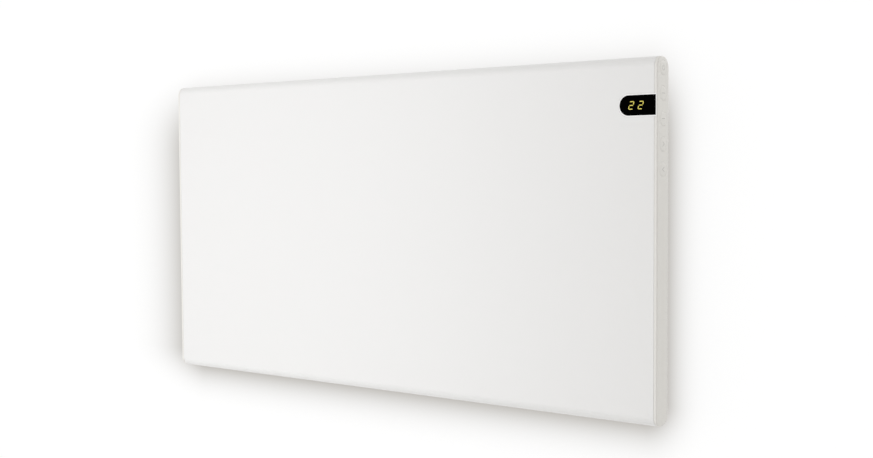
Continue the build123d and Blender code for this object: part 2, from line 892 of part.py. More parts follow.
def upright():
    """Right upright of the bracket: a folded channel with an ear at each end."""
    half = upright_width / 2
    wall = bracket_wall
    points = [
        (-half + wall / 2, -ear_reach - 2),
        (-half + wall / 2, -wall / 2),
        (half - wall / 2, -wall / 2),
        (half - wall / 2, -ear_reach - 2),
    ]
    section = Pos(bracket_x, 0) * folded(points, wall, bracket_bend)
    channel = along_z(section, upright_bottom, upright_top)
    side = rectangle(-upright_rise, 1, upright_bottom, upright_top)
    side += rectangle(pin_y, 1, pin_z - ear_radius, pin_z + ear_radius)
    side += Pos(pin_y, pin_z) * Circle(ear_radius)
    top_ear = rectangle(-ear_reach, 4, upright_top - ear_height, upright_top)
    side += fillet(top_ear.vertices(), ear_corner)
    channel &= along_x(side, bracket_x - half, bracket_x + half)
    bore = Pos(pin_y, pin_z) * Circle(pin_diameter / 2 + fit_gap)
    channel -= along_x(bore, bracket_x - half - 1, bracket_x + half + 1)
    for z in (-screw_spacing_z / 2, screw_spacing_z / 2):
        slot = Pos(bracket_x, z) * SlotOverall(screw_slot_length, screw_slot_width)
        channel -= along_y(slot, -wall - 1, 1)
    clip_hole = Pos(bracket_x, latch_z) * Circle(rivet_diameter / 2 + fit_gap)
    channel -= along_y(clip_hole, -wall - 1, 1)
    for x, z in rail_rivet_places():
        channel -= rivet_hole(x, z)
    return channel


def rail_rivet_places():
    """Rivets between the rails' end tabs and the right upright."""
    x = bracket_x - upright_width / 2
    return [(x, side * rail_offset) for side in (-1, 1)]


def rivet_hole(x, z):
    """Cutter along X for one rivet of the bracket."""
    hole = Pos(rivet_y, z) * Circle(rivet_diameter / 2 + fit_gap)
    return along_x(hole, x - 2 * bracket_wall, x + 2 * bracket_wall)


def rail(z):
    """Cross rail between the uprights: a channel with riveted end tabs."""
    wall = bracket_wall
    reach = bracket_x - upright_width / 2
    half = rail_height / 2
    points = [
        (-rail_rise, z + half - wall / 2),
        (-wall / 2, z + half - wall / 2),
        (-wall / 2, z - half + wall / 2),
        (-rail_rise, z - half + wall / 2),
    ]
    bar = along_x(folded(points, wall, bracket_bend), -reach + wall, reach - wall)
    tab = block((reach - wall, reach), (-upright_rise, 0), (z - half, z + half))
    tab -= rivet_hole(reach, z)
    for end in both_sides(tab):
        bar += end
    return bar


def rivet(x, z):
    """Rivet along X with a tapered head on each side."""
    place = Pos(rivet_y, z)
    body = along_x(place * Circle(rivet_diameter / 2), x - bracket_wall, x + bracket_wall)
    foot, top = rivet_head_diameter / 2, rivet_head_top / 2
    for side in (-1, 1):
        out = Plane((x + side * bracket_wall, rivet_y, z), z_dir=(side, 0, 0))
        body += out * Cone(foot, top, rivet_head_height, align=foot_down)
    return body


def hinge_pin():
    """Pin through the lower ears of the right upright, peened at its inner end."""
    inner, outer = bracket_x - upright_width / 2, bracket_x + upright_width / 2
    place = Pos(pin_y, pin_z)
    shaft = along_x(place * Circle(pin_diameter / 2), inner - pin_peen, outer)
    head = along_x(place * Circle(pin_head_diameter / 2), outer, outer + pin_head_height)
    peen = along_x(place * Circle(pin_diameter / 2 + pin_peen_growth), inner - pin_peen, inner)
    rim = head.edges().group_by(Axis.X)[-1]
    return shaft + chamfer(rim, pin_head_height / 3) + peen


def latch_clip():
    """Spring clip on the right upright that grips the heater's latch tongue."""
    waist = hanger_wall / 2 + clip_gap + clip_wall / 2
    base = -bracket_wall - clip_wall / 2
    right_arm = [
        (clip_half_base, base),
        (clip_half_base, -clip_shoulder),
        (waist, -clip_waist),
        (waist + clip_flare, -clip_mouth),
    ]
    left_arm = [(-x, y) for x, y in reversed(right_arm)]
    section = folded(left_arm + right_arm, clip_wall, clip_bend)
    low, high = latch_z - clip_width / 2, latch_z + clip_width / 2
    hole = Pos(bracket_x, latch_z) * Circle(rivet_diameter / 2 + fit_gap)
    clip = along_z(Pos(bracket_x, 0) * section, low, high)
    return clip - along_y(hole, -bracket_wall - 2 * clip_wall, 0)


def clip_rivet():
    """Rivet that holds the clip to the web, flush on the wall side."""
    place = Pos(bracket_x, latch_z)
    seat = -bracket_wall - clip_wall
    shank = along_y(place * Circle(rivet_diameter / 2), seat, 0)
    return shank + head_y(bracket_x, latch_z, seat, -rivet_head_height, rivet_head_diameter, rivet_head_top)


def bracket_pads():
    """Rubber pads on the upper ears that stop the heater rattling."""
    low, high = upright_top - ear_height + pad_inset, upright_top - pad_inset
    front = casing_back + hanger_base_wall + pad_gap
    pads = []
    for side in (-1, 1):
        x = bracket_x + side * (upright_width - bracket_wall) / 2
        pads.append(block((x - pad_width / 2, x + pad_width / 2), (front, -ear_reach), (low, high)))
    return pads


# ---------------------------------------------------------------- hangers and latches


def hanger_rivet_places():
    """Rivets of both hangers and both latch tongues in the rear panel."""
    hanger = (hanger_base_z()[0] + hanger_base_z()[1]) / 2
    offset_x = hanger_base_width / 2 - base_rivet_inset
    places = []
    for side in (-1, 1):
        for step in (-offset_x, offset_x):
            for z in (hanger, latch_z):
                places.append((side * bracket_x + step, z))
    return places


def hanger_base_z():
    """Lowest and highest point of a hanger's base on the rear panel."""
    return pin_z - hanger_base_below_pin, pin_z + hanger_base_above_pin


def hanger():
    """Right hanger: a hook over the hinge pin, with a tail that stops the tilt."""
    bore = pin_diameter / 2 + pin_clearance
    low, high = hanger_base_z()
    base_x = (bracket_x - hanger_base_width / 2, bracket_x + hanger_base_width / 2)
    base_y = (casing_back, casing_back + hanger_base_wall)
    base = block(base_x, base_y, (low, high))
    tail_bottom = pin_z - tail_length
    hook = rectangle(casing_back, pin_y + ear_radius - 0.5, pin_z, pin_z + ear_radius)
    hook = fillet(hook.vertices().sort_by(Axis.X)[-2:].sort_by(Axis.Y)[-1], ear_radius - 1)
    hook += rectangle(casing_back, pin_y - bore, low, pin_z)
    hook += rectangle(pin_y + bore, pin_y + ear_radius - 0.5, tail_bottom, pin_z)
    brace = [(casing_back, high), (casing_back, pin_z), (pin_y, pin_z + ear_radius)]
    hook += make_face(Polyline(*brace, close=True))
    hook -= Pos(pin_y, pin_z) * Circle(bore)
    half = hanger_wall / 2
    part = base + along_x(hook, bracket_x - half, bracket_x + half)
    return part - rivet_cuts((low + high) / 2)


def latch_tongue():
    """Right latch tongue: a tapered blade that the spring clip grips."""
    low, high = latch_z - latch_base_height / 2, latch_z + latch_base_height / 2
    base_x = (bracket_x - hanger_base_width / 2, bracket_x + hanger_base_width / 2)
    base = block(base_x, (casing_back, casing_back + hanger_base_wall), (low, high))
    half = latch_blade_height / 2
    blade = rectangle(casing_back, casing_back + latch_reach, latch_z - half, latch_z + half)
    blade = fillet(blade.vertices().sort_by(Axis.X)[-2:], latch_blade_corner)
    half = hanger_wall / 2
    return base + along_x(blade, bracket_x - half, bracket_x + half) - rivet_cuts(latch_z)


def rivet_cuts(z):
    """Cutters for the two rivets of a base on the rear panel."""
    reach = hanger_base_width / 2 - base_rivet_inset
    hole = Circle(rivet_diameter / 2 + fit_gap)
    holes = [Pos(bracket_x + step, z) * hole for step in (-reach, reach)]
    return [along_y(hole, casing_back - 1, casing_back + hanger_base_wall + 1) for hole in holes]


def hanger_rivet(x, z):
    """Blind rivet from the base into the duct."""
    seat = casing_back + hanger_base_wall
    inside = casing_back - sheet
    shank = along_y(Pos(x, z) * Circle(rivet_diameter / 2), inside, seat)
    tail = head_y(x, z, inside, -rivet_head_height, rivet_head_diameter, rivet_head_top)
    head = head_y(x, z, seat, rivet_head_height / 2, rivet_head_diameter, rivet_head_top)
    return shank + tail + head


# ---------------------------------------------------------------- write every sub-part

if __name__ == "__main__":
    os.makedirs("parts", exist_ok=True)

    write("front_panel", front_panel())
    write("left_end_cap", mirror(plain_cap(), about=Plane.YZ))
    write("right_end_cap", right_end_cap())
    write("display_bezel", display_bezel())
    write("display_window", display_window())
    write("display_module", display_module())
    write("display_segments", *display_segments())
    write("control_board", control_board())
    write("tact_switches", *tact_switches())
    key_names = ("power_key", "comfort_key", "setback_key", "up_key", "down_key")
    for name, z in zip(key_names, key_z):
        write(name, key(z))

    write("heat_shield", heat_shield())
    write("outlet_grille", grille(casing_top, 1))
    write("inlet_grille", grille(casing_bottom, -1))
    right_side, left_side = both_sides(casing_side())
    write("right_casing_side", right_side)
    write("left_casing_side", left_side)
    write("rear_panel", rear_panel())
    write("casing_screws", *[screw(x, z, casing_back) for x, z in casing_screw_places()])
    write("lip_screws", *[screw(x, z, shell_back) for x, z in lip_screw_places()])
    write("cap_screws", *[screw(x, z, shell_back) for x, z in cap_screw_places()])

    write("heating_rod", heating_rod())
    write("element_fins", *element_fins())
    right_foot, left_foot = both_sides(element_bracket())
    write("right_element_bracket", right_foot)
    write("left_element_bracket", left_foot)
    write("element_bushings", *element_bushings())
    write("cutout_bracket", cutout_bracket())
    write("thermal_cutout", thermal_cutout())

    write("power_board", power_board())
    write("board_standoffs", *board_standoffs())
    write("relay", relay())
    write("film_capacitor", film_capacitor())
    write("terminal_block", terminal_block())
    write("cable_gland", cable_gland())
    write("gland_nut", gland_nut())
    write("wire_grommet", wire_grommet())
    write("control_cable", control_cable())
    write("element_leads", *element_leads())
    write("room_sensor", room_sensor())
    write("earth_screw", screw(*earth_screw_place(), shield_back))

    right_upright, left_upright = both_sides(upright())
    write("right_upright", right_upright)
    write("left_upright", left_upright)
    write("upper_rail", rail(rail_offset))
    write("lower_rail", rail(-rail_offset))
    rivets = [end for x, z in rail_rivet_places() for end in both_sides(rivet(x, z))]
    write("bracket_rivets", *rivets, *both_sides(clip_rivet()))
    write("hinge_pins", *both_sides(hinge_pin()))
    write("latch_clips", *both_sides(latch_clip()))
    write("bracket_pads", *[pad for one in bracket_pads() for pad in both_sides(one)])

    right_hanger, left_hanger = both_sides(hanger())
    write("right_hanger", right_hanger)
    write("left_hanger", left_hanger)
    write("latch_tongues", *both_sides(latch_tongue()))
    write("hanger_rivets", *[hanger_rivet(x, z) for x, z in hanger_rivet_places()])
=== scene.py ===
"""A slim wall panel convector heater on its wall bracket, dressed piece by piece as it is put together.
Metres. X runs to the right seen from the room, Y from the room into the wall, Z up, origin on the wall."""

import math
import json
import bpy
import bmesh
from mathutils import Vector, Matrix

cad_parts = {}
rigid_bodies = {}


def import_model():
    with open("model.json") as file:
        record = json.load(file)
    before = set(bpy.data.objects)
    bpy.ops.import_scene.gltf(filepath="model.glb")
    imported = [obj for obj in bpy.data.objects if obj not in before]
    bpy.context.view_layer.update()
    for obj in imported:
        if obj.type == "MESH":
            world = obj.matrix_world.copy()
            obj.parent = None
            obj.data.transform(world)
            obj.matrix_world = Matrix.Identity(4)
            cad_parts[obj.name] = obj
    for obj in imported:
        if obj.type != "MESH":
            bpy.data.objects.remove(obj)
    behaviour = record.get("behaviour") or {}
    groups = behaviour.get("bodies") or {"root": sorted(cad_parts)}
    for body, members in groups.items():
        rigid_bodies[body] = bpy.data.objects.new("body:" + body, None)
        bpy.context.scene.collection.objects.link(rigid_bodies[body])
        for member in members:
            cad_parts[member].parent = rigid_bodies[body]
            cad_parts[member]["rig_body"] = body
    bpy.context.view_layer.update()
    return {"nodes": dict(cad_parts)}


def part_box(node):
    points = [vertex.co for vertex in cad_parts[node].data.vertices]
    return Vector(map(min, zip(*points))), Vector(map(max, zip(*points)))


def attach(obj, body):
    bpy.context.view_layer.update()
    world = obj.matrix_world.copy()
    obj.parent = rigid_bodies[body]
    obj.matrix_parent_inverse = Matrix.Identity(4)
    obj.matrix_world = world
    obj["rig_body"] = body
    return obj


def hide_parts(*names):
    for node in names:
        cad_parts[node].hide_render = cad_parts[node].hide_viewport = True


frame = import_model()

# ------------------------------------------------------------------ the room
# A white painted wall that the heater hangs on, with a pale floor well below it.
# Both are clear from behind, so that the back and the underside can be looked at.
# One broad soft lamp stands in front to the left, and one lights the back.

# The soft shadow round the heater is painted into the wall's colour by the shade values below.
room_reach = 4.0
floor_height = -0.62
wall_white = (0.93, 0.925, 0.915)
floor_pale = (0.80, 0.80, 0.79)
paint_grain, paint_waver = 3.0, 0.99
own_light, own_strength = 0.92, 1.030
air_colour, air_strength = (1.0, 0.985, 0.972), 0.682
# Left, right, bottom and top of the painted shade on the wall: axis, start of the fading, its length and
# its bend.
shade_sides = (
    ("X", -0.399, -0.0555, 1.35),
    ("X", 0.293, 0.0338, 2.0),
    ("Z", -0.177, -0.0342, 1.7),
    ("Z", 0.078, 0.0920, 3.2),
)
# Warm dark tone of the painted shade, its depth and its darkest share.
shade_tone, shade_depth, shade_most = (0.09, 0.055, 0.0), 0.93, 0.48


def new_nodes(name):
    """An empty material with its tree, ready for the nodes of one finish."""
    material = bpy.data.materials.new(name)
    material.use_nodes = True
    material.node_tree.nodes.clear()
    return material, material.node_tree.nodes, material.node_tree.links


def wired(links, *joins):
    """Joins sockets, each pair given as one node and its output, another node and its input."""
    for giver, output, taker, entry in joins:
        links.new(giver.outputs[output], taker.inputs[entry])


def tinted(nodes, colour, first, second):
    """A blend between one colour times a first share and the same times a second."""
    tint = nodes.new("ShaderNodeMix")
    tint.data_type = "RGBA"
    for entry, share in (("A", first), ("B", second)):
        tint.inputs[entry].default_value = (*[min(part * share, 1) for part in colour], 1)
    return tint


def counted(nodes, links, operation, first, second):
    """One sum on two values, each a number or the output of another node."""
    step = nodes.new("ShaderNodeMath")
    step.operation = operation
    for socket, value in zip(step.inputs, (first, second)):
        if isinstance(value, (int, float)):
            socket.default_value = value
        else:
            links.new(value, socket)
    return step.outputs[0]


def painted_wall_shade(nodes, links):
    """Painted shade on the wall round the heater, a shadow put into its colour: full behind it, and fading
    away outside.
    """
    place = nodes.new("ShaderNodeTexCoord")
    apart = nodes.new("ShaderNodeSeparateXYZ")
    links.new(place.outputs["Object"], apart.inputs[0])
    away = 0.0
    for output, edge, fade, bend in shade_sides:
        past = counted(nodes, links, "SUBTRACT", apart.outputs[output], edge)
        past = counted(nodes, links, "MAXIMUM", counted(nodes, links, "DIVIDE", past, fade), 0.0)
        away = counted(nodes, links, "SUBTRACT", away, counted(nodes, links, "POWER", past, bend))
    fall = counted(nodes, links, "EXPONENT", away, 0.0)
    fall = counted(nodes, links, "MULTIPLY", fall, shade_depth)
    fall = counted(nodes, links, "MINIMUM", fall, shade_most)
    return counted(nodes, links, "SUBTRACT", 1.0, fall)


def room_paint(name, colour, shaded):
    """Matt paint that the camera and reflections see lifted to white, and that is clear from behind.
    The shaded one carries a soft shadow of the heater painted into its colour, and lets the light of both
    lamps through."""
    material, nodes, links = new_nodes(name)
    out = nodes.new("ShaderNodeOutputMaterial")
    place = nodes.new("ShaderNodeTexCoord")
    grain = nodes.new("ShaderNodeTexNoise")
    grain.inputs["Scale"].default_value = paint_grain
    tint = tinted(nodes, colour, 1, paint_waver)
    paint = nodes.new("ShaderNodeBsdfDiffuse")
    glow = nodes.new("ShaderNodeEmission")
    glow.inputs["Color"].default_value = (1.0, 1.0, 1.0, 1)
    glow.inputs["Strength"].default_value = own_strength
    lifted = nodes.new("ShaderNodeMixShader")
    lifted.inputs[0].default_value = own_light
    wired(
        links,
        (place, "Object", grain, "Vector"),
        (grain, "Fac", tint, "Factor"),
        (tint, "Result", paint, "Color"),
        (paint, 0, lifted, 1),
        (glow, 0, lifted, 2),
    )
    path = nodes.new("ShaderNodeLightPath")
    seen = counted(nodes, links, "MAXIMUM", path.outputs["Is Camera Ray"], path.outputs["Is Glossy Ray"])
    seen = counted(nodes, links, "MAXIMUM", seen, path.outputs["Is Transmission Ray"])
    final = nodes.new("ShaderNodeMixShader")
    side = nodes.new("ShaderNodeNewGeometry")
    clear = nodes.new("ShaderNodeBsdfTransparent")
    if shaded:
        # A warm dark glow that the painted shade mixes into the wall's colour.
        dark = nodes.new("ShaderNodeEmission")
        dark.inputs["Color"].default_value = (*shade_tone, 1)
        toned = nodes.new("ShaderNodeMixShader")
        links.new(painted_wall_shade(nodes, links), toned.inputs[0])
        wired(
            links,
            (dark, 0, toned, 1),
            (lifted, 0, toned, 2),
            (clear, 0, final, 1),
            (toned, 0, final, 2),
        )
    else:
        wired(links, (paint, 0, final, 1), (lifted, 0, final, 2))
    links.new(seen, final.inputs[0])
    behind = nodes.new("ShaderNodeMixShader")
    wired(
        links,
        (side, "Backfacing", behind, 0),
        (final, 0, behind, 1),
        (clear, 0, behind, 2),
        (behind, 0, out, 0),
    )
    return material


def shown(name, data):
    """An object for a mesh, a lamp or the camera, put in the scene."""
    made = bpy.data.objects.new(name, data)
    bpy.context.scene.collection.objects.link(made)
    return made


def flat_square(name, corners, material):
    """A single flat square that belongs to the room."""
    mesh = bpy.data.meshes.new(name)
    mesh.from_pydata(corners, [], [(0, 1, 2, 3)])
    mesh.materials.append(material)
    made = shown(name, mesh)


wide, low = room_reach, floor_height
wall_corners = [(-wide, 0, low), (wide, 0, low), (wide, 0, wide), (-wide, 0, wide)]
flat_square("wall", wall_corners, room_paint("wall_paint", wall_white, True))
floor_corners = [(-wide, -wide, low), (wide, -wide, low), (wide, wide, low), (-wide, wide, low)]
flat_square("floor", floor_corners, room_paint("floor_paint", floor_pale, False))


def lamp(name, place, aim, width, height, power, colour):
    """A soft rectangular lamp that points at one spot."""
    light = bpy.data.lights.new(name, "AREA")
    light.shape = "RECTANGLE"
    light.size = width
    light.size_y = height
    light.energy = power
    light.color = colour
    made = shown(name, light)
    made.location = place
    made.rotation_euler = (Vector(aim) - Vector(place)).to_track_quat("-Z", "Y").to_euler()
    made.visible_camera = False


lamp(
    "front_lamp",
    place=(-0.33, -0.88, 0.06),
    aim=(-0.33, 0, 0),
    width=0.9,
    height=1.2,
    power=4.05,
    colour=(0.965, 0.970, 1.0),
)
lamp(
    "back_lamp",
    place=(1.0, 2.2, 1.2),
    aim=(0, 0, 0),
    width=1.8,
    height=1.4,
    power=20,
    colour=(1.0, 1.0, 1.0),
)

world = bpy.data.worlds.new("room_air")
bpy.context.scene.world = world
world.use_nodes = True
nodes, links = world.node_tree.nodes, world.node_tree.links
nodes.clear()
sky = nodes.new("ShaderNodeOutputWorld")
air = nodes.new("ShaderNodeBackground")
air.inputs["Color"].default_value = (*air_colour, 1)
air.inputs["Strength"].default_value = air_strength
white = nodes.new("ShaderNodeBackground")
white.inputs["Color"].default_value = (1, 1, 1, 1)
path = nodes.new("ShaderNodeLightPath")
chosen = nodes.new("ShaderNodeMixShader")
wired(
    links,
    (path, "Is Camera Ray", chosen, 0),
    (air, 0, chosen, 1),
    (white, 0, chosen, 2),
    (chosen, 0, sky, 0),
)

camera_place = (0.8898, -1.1696, 0.0723)
camera_tilt, camera_roll, camera_turn = 87.26, 0.34, 36.784
camera_lens, camera_sensor = 49.835, 36.0
view = bpy.data.cameras.new("camera")
view.sensor_width = camera_sensor
view.lens = camera_lens
camera = shown("camera", view)
camera.location = camera_place
camera.rotation_euler = [math.radians(part) for part in (camera_tilt, camera_roll, camera_turn)]
bpy.context.scene.camera = camera
bpy.context.scene.view_settings.view_transform = "Standard"

# ------------------------------------------------------------------ wall bracket
# Two folded uprights and two rails of powder coated steel sheet, riveted into one frame.
# Four screws through slots in the uprights hold it to the wall.

bracket_coat = (0.78, 0.78, 0.77)
crisp_angle, face_weight = math.radians(28), 90
weld_distance = 1e-6
grain_detail, gloss_waver = 4.0, 0.15
relief_strength, relief_grain = 0.25, 1.7


def grained(name, colour, vary, grain, rough, relief=0.0, metal=0.0):
    """A finish whose shade and gloss waver finely, with a small relief where one is given."""
    material, nodes, links = new_nodes(name)
    out = nodes.new("ShaderNodeOutputMaterial")
    body = nodes.new("ShaderNodeBsdfPrincipled")
    body.inputs["Metallic"].default_value = metal
    place = nodes.new("ShaderNodeTexCoord")
    noise = nodes.new("ShaderNodeTexNoise")
    noise.inputs["Scale"].default_value = grain
    noise.inputs["Detail"].default_value = grain_detail
    tint = tinted(nodes, colour, 1 - vary, 1 + vary)
    gloss = nodes.new("ShaderNodeMapRange")
    gloss.inputs["To Min"].default_value = rough * (1 - gloss_waver)
    gloss.inputs["To Max"].default_value = rough * (1 + gloss_waver)
    wired(
        links,
        (place, "Object", noise, "Vector"),
        (noise, "Fac", tint, "Factor"),
        (tint, "Result", body, "Base Color"),
        (noise, "Fac", gloss, "Value"),
        (gloss, "Result", body, "Roughness"),
    )
    if relief:
        bump = nodes.new("ShaderNodeBump")
        bump.inputs["Strength"].default_value = relief_strength
        bump.inputs["Distance"].default_value = relief
        fine = nodes.new("ShaderNodeTexNoise")
        fine.inputs["Scale"].default_value = grain * relief_grain
        wired(
            links,
            (place, "Object", fine, "Vector"),
            (fine, "Fac", bump, "Height"),
            (bump, "Normal", body, "Normal"),
        )
    links.new(body.outputs[0], out.inputs[0])
    return material


def taken(holder, *helpers):
    """The plain mesh that an object comes to with its modifiers. The object and its helpers go."""
    bpy.context.view_layer.update()
    solved = holder.evaluated_get(bpy.context.evaluated_depsgraph_get())
    mesh = bpy.data.meshes.new_from_object(solved)
    for done in (holder, *helpers):
        bpy.data.objects.remove(done)
    return mesh


def crisp(mesh):
    """Rounds shade smoothly, while flats stay flat and folds stay sharp."""
    for face in mesh.polygons:
        face.use_smooth = True
    mesh.set_sharp_from_angle(angle=crisp_angle)
    holder = shown("holder", mesh)
    weighed = holder.modifiers.new("weighed", "WEIGHTED_NORMAL")
    weighed.keep_sharp = True
    weighed.weight = face_weight
    return taken(holder)


def finished(name, mesh, body, slot, material, *nodes):
    """Puts one made piece on its body, in place of the nodes that it stands for."""
    mesh = crisp(mesh)
    mesh.materials.clear()
    mesh.materials.append(material)
    mesh.name = name
    made = shown(name, mesh)
    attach(made, body)
    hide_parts(*nodes)


def written(work, name):
    """A mesh made from one that was being worked on, which is then let go."""
    mesh = bpy.data.meshes.new(name)
    work.to_mesh(mesh)
    work.free()
    return mesh


def merged(node):
    """A copy of a node's mesh with its triangles joined up."""
    work = bmesh.new()
    work.from_mesh(frame["nodes"][node].data)
    bmesh.ops.remove_doubles(work, verts=work.verts, dist=weld_distance)
    return written(work, node)


def dressed(slot, material, *nodes):
    """Gives nodes whose shape is right as it stands a smooth mesh and their finish."""
    for node in nodes:
        body = frame["nodes"][node]["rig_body"]
        finished(node + "_piece", merged(node), body, slot, material, node)


steel_coat = grained("bracket_coat", bracket_coat, vary=0.02, grain=900, rough=0.45, relief=4e-5)
dressed("bracket_steel", steel_coat, "right_upright", "left_upright", "upper_rail", "lower_rail")

# ------------------------------------------------------------------ rivets of the bracket
# Zinc plated steel rivets, set with a domed head on each side of two sheets.
# The rails' rivets lie across, and those of the spring clips point to the room.

dome_steps, round_steps = 6, 28
pole_distance = 1e-7
rivet_head, neck_share = 0.0014, 0.38
across, to_room, to_wall = (0, math.radians(90), 0), (math.radians(90), 0, 0), (math.radians(-90), 0, 0)


def islands(node):
    """Middle and size of each separate solid of one node."""
    work = bmesh.new()
    work.from_mesh(merged(node))
    waiting = set(work.verts)
    found = []
    while waiting:
        reached = [waiting.pop()]
        for vertex in reached:
            for edge in vertex.link_edges:
                other = edge.other_vert(vertex)
                if other in waiting:
                    waiting.remove(other)
                    reached.append(other)
        low = Vector(min(v.co[axis] for v in reached) for axis in range(3))
        high = Vector(max(v.co[axis] for v in reached) for axis in range(3))
        found.append(((low + high) / 2, high - low))
    work.free()
    return found


def turned(name, profile):
    """A solid turned round the Z axis from (radius, height) pairs that end on it or close a loop."""
    work = bmesh.new()
    line = [work.verts.new((radius, 0, height)) for radius, height in profile]
    edges = [work.edges.new(pair) for pair in zip(line, line[1:])]
    axis = dict(cent=(0, 0, 0), axis=(0, 0, 1))
    bmesh.ops.spin(work, geom=line + edges, angle=math.tau, steps=round_steps, use_merge=True, **axis)
    bmesh.ops.remove_doubles(work, verts=work.verts, dist=pole_distance)
    bmesh.ops.recalc_face_normals(work, faces=work.faces)
    return written(work, name)


def dome(radius, base, height):
    """(radius, height) pairs of a low dome, from its rim to its crown."""
    pairs = []
    for step in range(dome_steps + 1):
        turn = math.radians(90) * step / dome_steps
        pairs.append((radius * math.cos(turn), base + height * math.sin(turn)))
    pairs[-1] = (0.0, base + height)
    return pairs


def group_of(name, **kinds):
    """A Geometry Nodes group with a geometry through it and one named input for each kind."""
    group = bpy.data.node_groups.new(name, "GeometryNodeTree")
    group.interface.new_socket("Geometry", in_out="OUTPUT", socket_type="NodeSocketGeometry")
    group.interface.new_socket("Geometry", in_out="INPUT", socket_type="NodeSocketGeometry")
    for label, kind in kinds.items():
        socket_type = "NodeSocket" + kind
        group.interface.new_socket(label, in_out="INPUT", socket_type=socket_type)
    return group, group.nodes.new("NodeGroupInput"), group.nodes.new("NodeGroupOutput")


def ended(group, geometry, entry, leave):
    """Closes a group: its instances made real, and its finish set."""
    real = group.nodes.new("GeometryNodeRealizeInstances")
    coat = group.nodes.new("GeometryNodeSetMaterial")
    group.links.new(geometry, real.inputs["Geometry"])
    wired(
        group.links,
        (real, "Geometry", coat, "Geometry"),
        (entry, "Finish", coat, "Material"),
        (coat, "Geometry", leave, "Geometry"),
    )


def fastener_group():
    """Sets one fastener on each point, all turned the same way."""
    group, entry, leave = group_of("fasteners", Fastener="Object", Turn="Vector", Finish="Material")
    piece = group.nodes.new("GeometryNodeObjectInfo")
    turn = group.nodes.new("FunctionNodeEulerToRotation")
    spread = group.nodes.new("GeometryNodeInstanceOnPoints")
    wired(
        group.links,
        (entry, "Fastener", piece, "Object"),
        (entry, "Turn", turn, "Euler"),
        (entry, "Geometry", spread, "Points"),
        (piece, "Geometry", spread, "Instance"),
        (turn, "Rotation", spread, "Rotation"),
    )
    ended(group, spread.outputs["Instances"], entry, leave)
    return group


def grown(seed, group, **values):
    """Runs a group over a seed mesh and keeps what it makes as a plain mesh."""
    holder = shown("holder", seed)
    run = holder.modifiers.new("grown", "NODES")
    run.node_group = group
    for item in group.interface.items_tree:
        if item.in_out == "INPUT" and item.name in values:
            run[item.identifier] = values[item.name]
    return taken(holder)


def joined(name, *meshes):
    """One mesh made of several."""
    work = bmesh.new()
    for mesh in meshes:
        work.from_mesh(mesh)
    return written(work, name)


fasteners = fastener_group()


def in_rows(name, master, turn, spots, material):
    """One mesh with the same fastener on every spot."""
    points = bpy.data.meshes.new(name)
    points.from_pydata(spots, [], [])
    holder = shown("master", master)
    mesh = grown(points, fasteners, Fastener=holder, Turn=turn, Finish=material)
    bpy.data.objects.remove(holder)
    return mesh


def rivet_shape(length, width, head):
    """A rivet with a dome at each end, its middle at the origin."""
    half, neck = length / 2 - head, width * neck_share
    upper = dome(width / 2, half, head)
    lower = [(radius, -height) for radius, height in reversed(upper)]
    return turned("rivet", lower + [(neck, -half), (neck, half)] + upper)


bright_zinc = grained("bright_zinc", (0.66, 0.66, 0.66), vary=0.06, grain=700, rough=0.3, metal=1.0)
lying, standing = [], []
for middle, size in islands("bracket_rivets"):
    (lying if abs(size.y - size.z) < abs(size.x - size.z) else standing).append((middle, size))
rows = []
for found, turn in ((lying, across), (standing, to_room)):
    size = found[0][1]
    length = size.x if turn is across else size.y
    master = rivet_shape(length, size.z, rivet_head)
    rows.append(in_rows("rivets", master, turn, [middle for middle, size in found], bright_zinc))
rivets = joined("rivets", *rows)
finished("bracket_rivets_piece", rivets, "wall_bracket", "plated_screw", bright_zinc, "bracket_rivets")

# ------------------------------------------------------------------ pins, clips and pads
# Two plated pins that the heater turns on, two strip steel clips that grip its tongues,
# and soft rubber pads on the upper ears.

spring = grained("spring_steel", (0.42, 0.42, 0.43), vary=0.05, grain=700, rough=0.3, metal=1.0)
rubber = grained("black_rubber", (0.03, 0.03, 0.03), vary=0.15, grain=900, rough=0.7, relief=5e-5)
dressed("plated_screw", bright_zinc, "hinge_pins")
dressed("spring_steel", spring, "latch_clips")
dressed("black_rubber", rubber, "bracket_pads")

# ------------------------------------------------------------------ rear casing
# Folded sheets of zinc coated steel that make the warm air duct: the back, two sides,
# and two strips punched with rows of slots that let the air in below and out above.

sheet = 0.001
slot_length, slot_width = 0.088, 0.0046
slot_pitch, slot_row_pitch = 0.100, 0.0096
slot_columns, slot_rows = 6, 3
round_share, slot_steps = 0.499, 5
strip_fold, strip_bend, strip_steps = 0.008, 0.0021, 6
spangle_dark, spangle_light, spangle_gloss = 0.9, 1.08, 0.25


def spangled(name, colour, cell, rough):
    """Zinc coating whose crystals each shine a little differently."""
    material, nodes, links = new_nodes(name)
    out = nodes.new("ShaderNodeOutputMaterial")
    body = nodes.new("ShaderNodeBsdfPrincipled")
    body.inputs["Metallic"].default_value = 1.0
    place = nodes.new("ShaderNodeTexCoord")
    crystals = nodes.new("ShaderNodeTexVoronoi")
    crystals.inputs["Scale"].default_value = 1 / cell
    tone = nodes.new("ShaderNodeSeparateColor")
    tint = tinted(nodes, colour, spangle_dark, spangle_light)
    gloss = nodes.new("ShaderNodeMapRange")
    gloss.inputs["To Min"].default_value = rough * (1 - spangle_gloss)
    gloss.inputs["To Max"].default_value = rough * (1 + spangle_gloss)
    wired(
        links,
        (place, "Object", crystals, "Vector"),
        (crystals, "Color", tone, "Color"),
        (tone, "Red", tint, "Factor"),
        (tint, "Result", body, "Base Color"),
        (tone, "Green", gloss, "Value"),
        (gloss, "Result", body, "Roughness"),
        (body, 0, out, 0),
    )
    return material


def bent(middle, radius, start, steps):
    """Points of a quarter bend that turns anticlockwise from one angle in degrees."""
    turns = [math.radians(start + 90 * step / steps) for step in range(steps + 1)]
    return [(middle[0] + radius * math.cos(t), middle[1] + radius * math.sin(t)) for t in turns]


